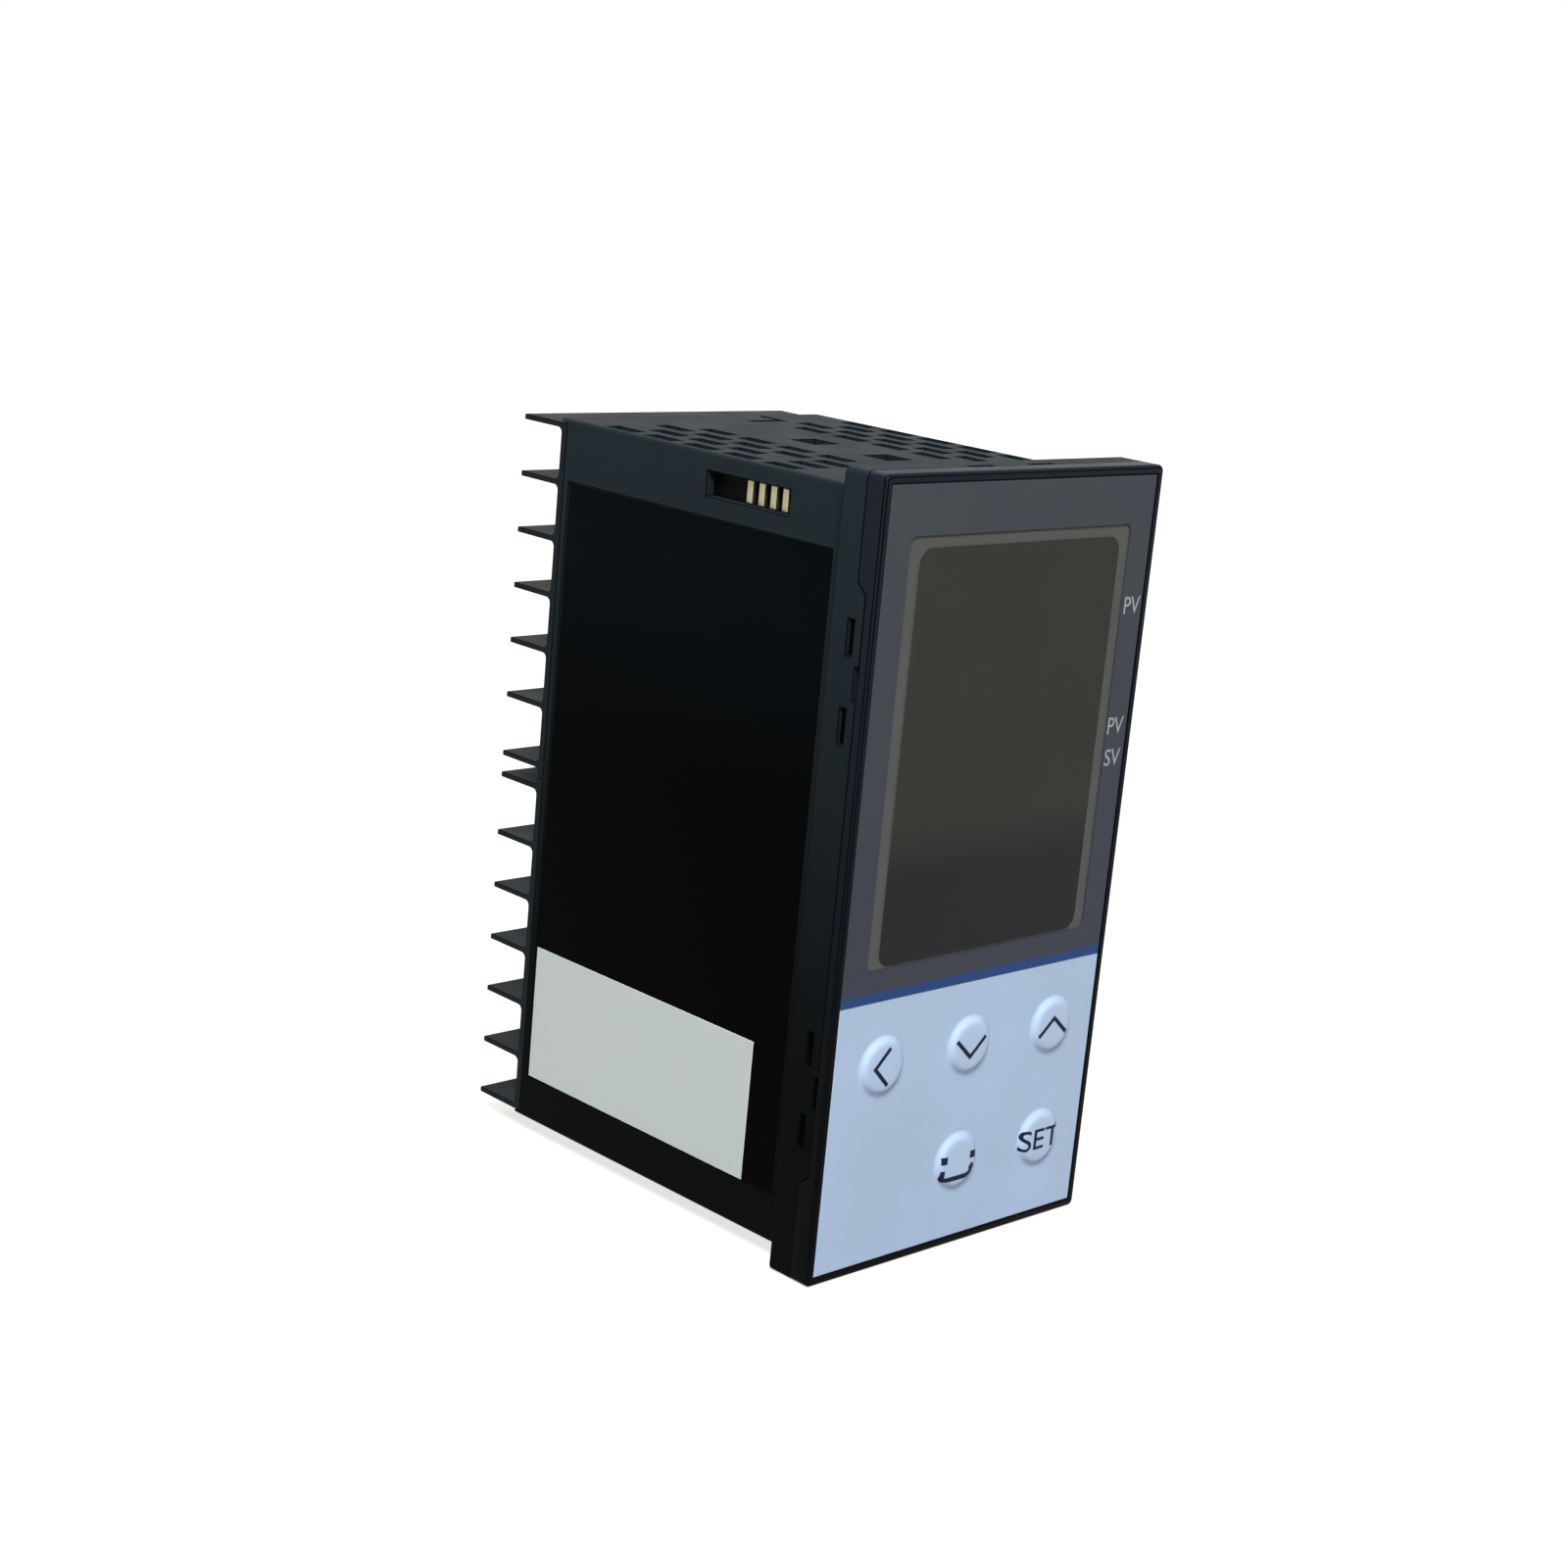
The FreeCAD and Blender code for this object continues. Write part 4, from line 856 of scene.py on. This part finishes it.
def add_numbers(end, number, ink):
    """A number printed beside each terminal of a block, counted as seen from behind, from the top left.

    number is the last one given before, and the last one given here is returned.
    """
    name = "terminal_numbers_" + end
    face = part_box("case")[1].y
    form = bmesh.new()
    for place in sorted(terminal_middles(end), key=lambda place: (-round(place.z, 5), -place.x)):
        number += 1
        digits = text_mesh(str(number), NUMBER_HEIGHT_MM, 0, ink)
        for vertex in digits.vertices:
            x, z = vertex.co.x, vertex.co.y
            vertex.co = Vector((place.x - NUMBER_BESIDE - x, face + PRINT_LIFT, place.z + z))
        form.from_mesh(digits)
    bmesh.ops.reverse_faces(form, faces=form.faces)
    new_piece(name, mesh_of(form, name, [ink]), "controller")
    return number


# ---------------------------------------------------------------- camera, floor and light
CAMERA_PLACE = (-0.2405, -0.2137, 0.0866)
CAMERA_TURNS = (75.266, -5.372, -44.204)
CAMERA_LENS = 63.43
CAMERA_SHIFT = (-0.0245, 0.0264)


def add_camera():
    """The camera stands ahead of the front, to the left and a little above."""
    data = bpy.data.cameras.new("camera")
    data.lens = CAMERA_LENS
    data.sensor_width = 36.0
    data.shift_x, data.shift_y = CAMERA_SHIFT
    data.clip_start = 0.01
    camera = bpy.data.objects.new("camera", data)
    camera.location = CAMERA_PLACE
    camera.rotation_euler = [math.radians(turn) for turn in CAMERA_TURNS]
    bpy.context.scene.collection.objects.link(camera)
    bpy.context.scene.camera = camera


WHITE = (1, 1, 1, 1)
FLOOR_COLOUR = (0.35, 0.35, 0.35, 1)
FLOOR_REACH = 3.0
FLOOR_GAP = 0.0001
# The floor's own light near the object, for rays that show the background. Between these distances, in
# metres, it goes up to 1, which is white.
FLOOR_GLOW = 0.75
GLOW_SPAN = (0.3, 1.0)


def seen_share(tree):
    """1 for rays that show the background: from the camera, or through gloss or glass."""
    path = tree.nodes.new("ShaderNodeLightPath")
    seen = path.outputs["Is Camera Ray"]
    for kind in ("Is Glossy Ray", "Is Transmission Ray"):
        either = tree.nodes.new("ShaderNodeMath")
        either.operation = "MAXIMUM"
        tree.links.new(seen, either.inputs[0])
        tree.links.new(path.outputs[kind], either.inputs[1])
        seen = either.outputs["Value"]
    return seen


def far_share(tree):
    """From FLOOR_GLOW near the object to 1 well away from it."""
    where = tree.nodes.new("ShaderNodeTexCoord")
    distance = tree.nodes.new("ShaderNodeVectorMath")
    distance.operation = "LENGTH"
    tree.links.new(where.outputs["Object"], distance.inputs[0])
    return mapped(tree, distance.outputs["Value"], GLOW_SPAN, (FLOOR_GLOW, 1.0))


def add_floor():
    """A plain pale floor under the object, near white to the camera but for the object's shadow."""
    level = cad_box[0][2] - FLOOR_GAP
    signs = ((-1, -1), (1, -1), (1, 1), (-1, 1))
    mesh = bpy.data.meshes.new("floor")
    mesh.from_pydata([(x * FLOOR_REACH, y * FLOOR_REACH, level) for x, y in signs], [], [(0, 1, 2, 3)])
    floor = bpy.data.objects.new("floor", mesh)
    bpy.context.scene.collection.objects.link(floor)
    material, tree, surface = new_material("floor", 0.9, specular=0.0)
    surface.inputs["Base Color"].default_value = FLOOR_COLOUR
    glow = tree.nodes.new("ShaderNodeEmission")
    glow.inputs["Color"].default_value = WHITE
    strength = tree.nodes.new("ShaderNodeMath")
    strength.operation = "MULTIPLY"
    tree.links.new(seen_share(tree), strength.inputs[0])
    tree.links.new(far_share(tree), strength.inputs[1])
    tree.links.new(strength.outputs["Value"], glow.inputs["Strength"])
    both = tree.nodes.new("ShaderNodeAddShader")
    tree.links.new(surface.outputs["BSDF"], both.inputs[0])
    tree.links.new(glow.outputs["Emission"], both.inputs[1])
    tree.links.new(both.outputs["Shader"], tree.nodes["Material Output"].inputs["Surface"])
    mesh.materials.append(material)


WORLD_COLOUR = (0.11, 0.113, 0.12, 1)
LAMP_AIM = Vector((0, 0.02, 0))
# Name, place and width in metres, watts, and colour.
LAMPS = (
    ("key_lamp", (-0.62, -0.58, 0.95), 0.5, 27, (1, 0.99, 0.98)),
    ("fill_lamp", (0.9, -1.0, 0.6), 1.0, 1, (1, 1, 1)),
    ("top_lamp", (0.25, 0.7, 1.0), 0.8, 8, (1, 0.7, 0.46)),
)


def add_light():
    """Soft studio light: a large lamp above the left front, weaker ones elsewhere, and a plain world."""
    world = bpy.data.worlds.new("world")
    world.use_nodes = True
    bpy.context.scene.world = world
    tree = world.node_tree
    grey = tree.nodes["Background"]
    grey.inputs["Color"].default_value = WORLD_COLOUR
    white = tree.nodes.new("ShaderNodeBackground")
    white.inputs["Color"].default_value = WHITE
    mix = tree.nodes.new("ShaderNodeMixShader")
    tree.links.new(seen_share(tree), mix.inputs["Fac"])
    tree.links.new(grey.outputs["Background"], mix.inputs[1])
    tree.links.new(white.outputs["Background"], mix.inputs[2])
    tree.links.new(mix.outputs["Shader"], tree.nodes["World Output"].inputs["Surface"])
    for name, place, width, watts, colour in LAMPS:
        data = bpy.data.lights.new(name, "AREA")
        data.shape = "DISK"
        data.size = width
        data.energy = watts
        data.color = colour
        lamp = bpy.data.objects.new(name, data)
        lamp.location = place
        lamp.rotation_euler = (LAMP_AIM - Vector(place)).to_track_quat("-Z", "Y").to_euler()
        bpy.context.scene.collection.objects.link(lamp)


bpy.context.scene.view_settings.view_transform = "Standard"
add_camera()
add_floor()
add_light()
add_case()
add_bezel()
add_sheet()
add_lens()
add_labels()
add_keys()
add_terminals(add_inner_parts())
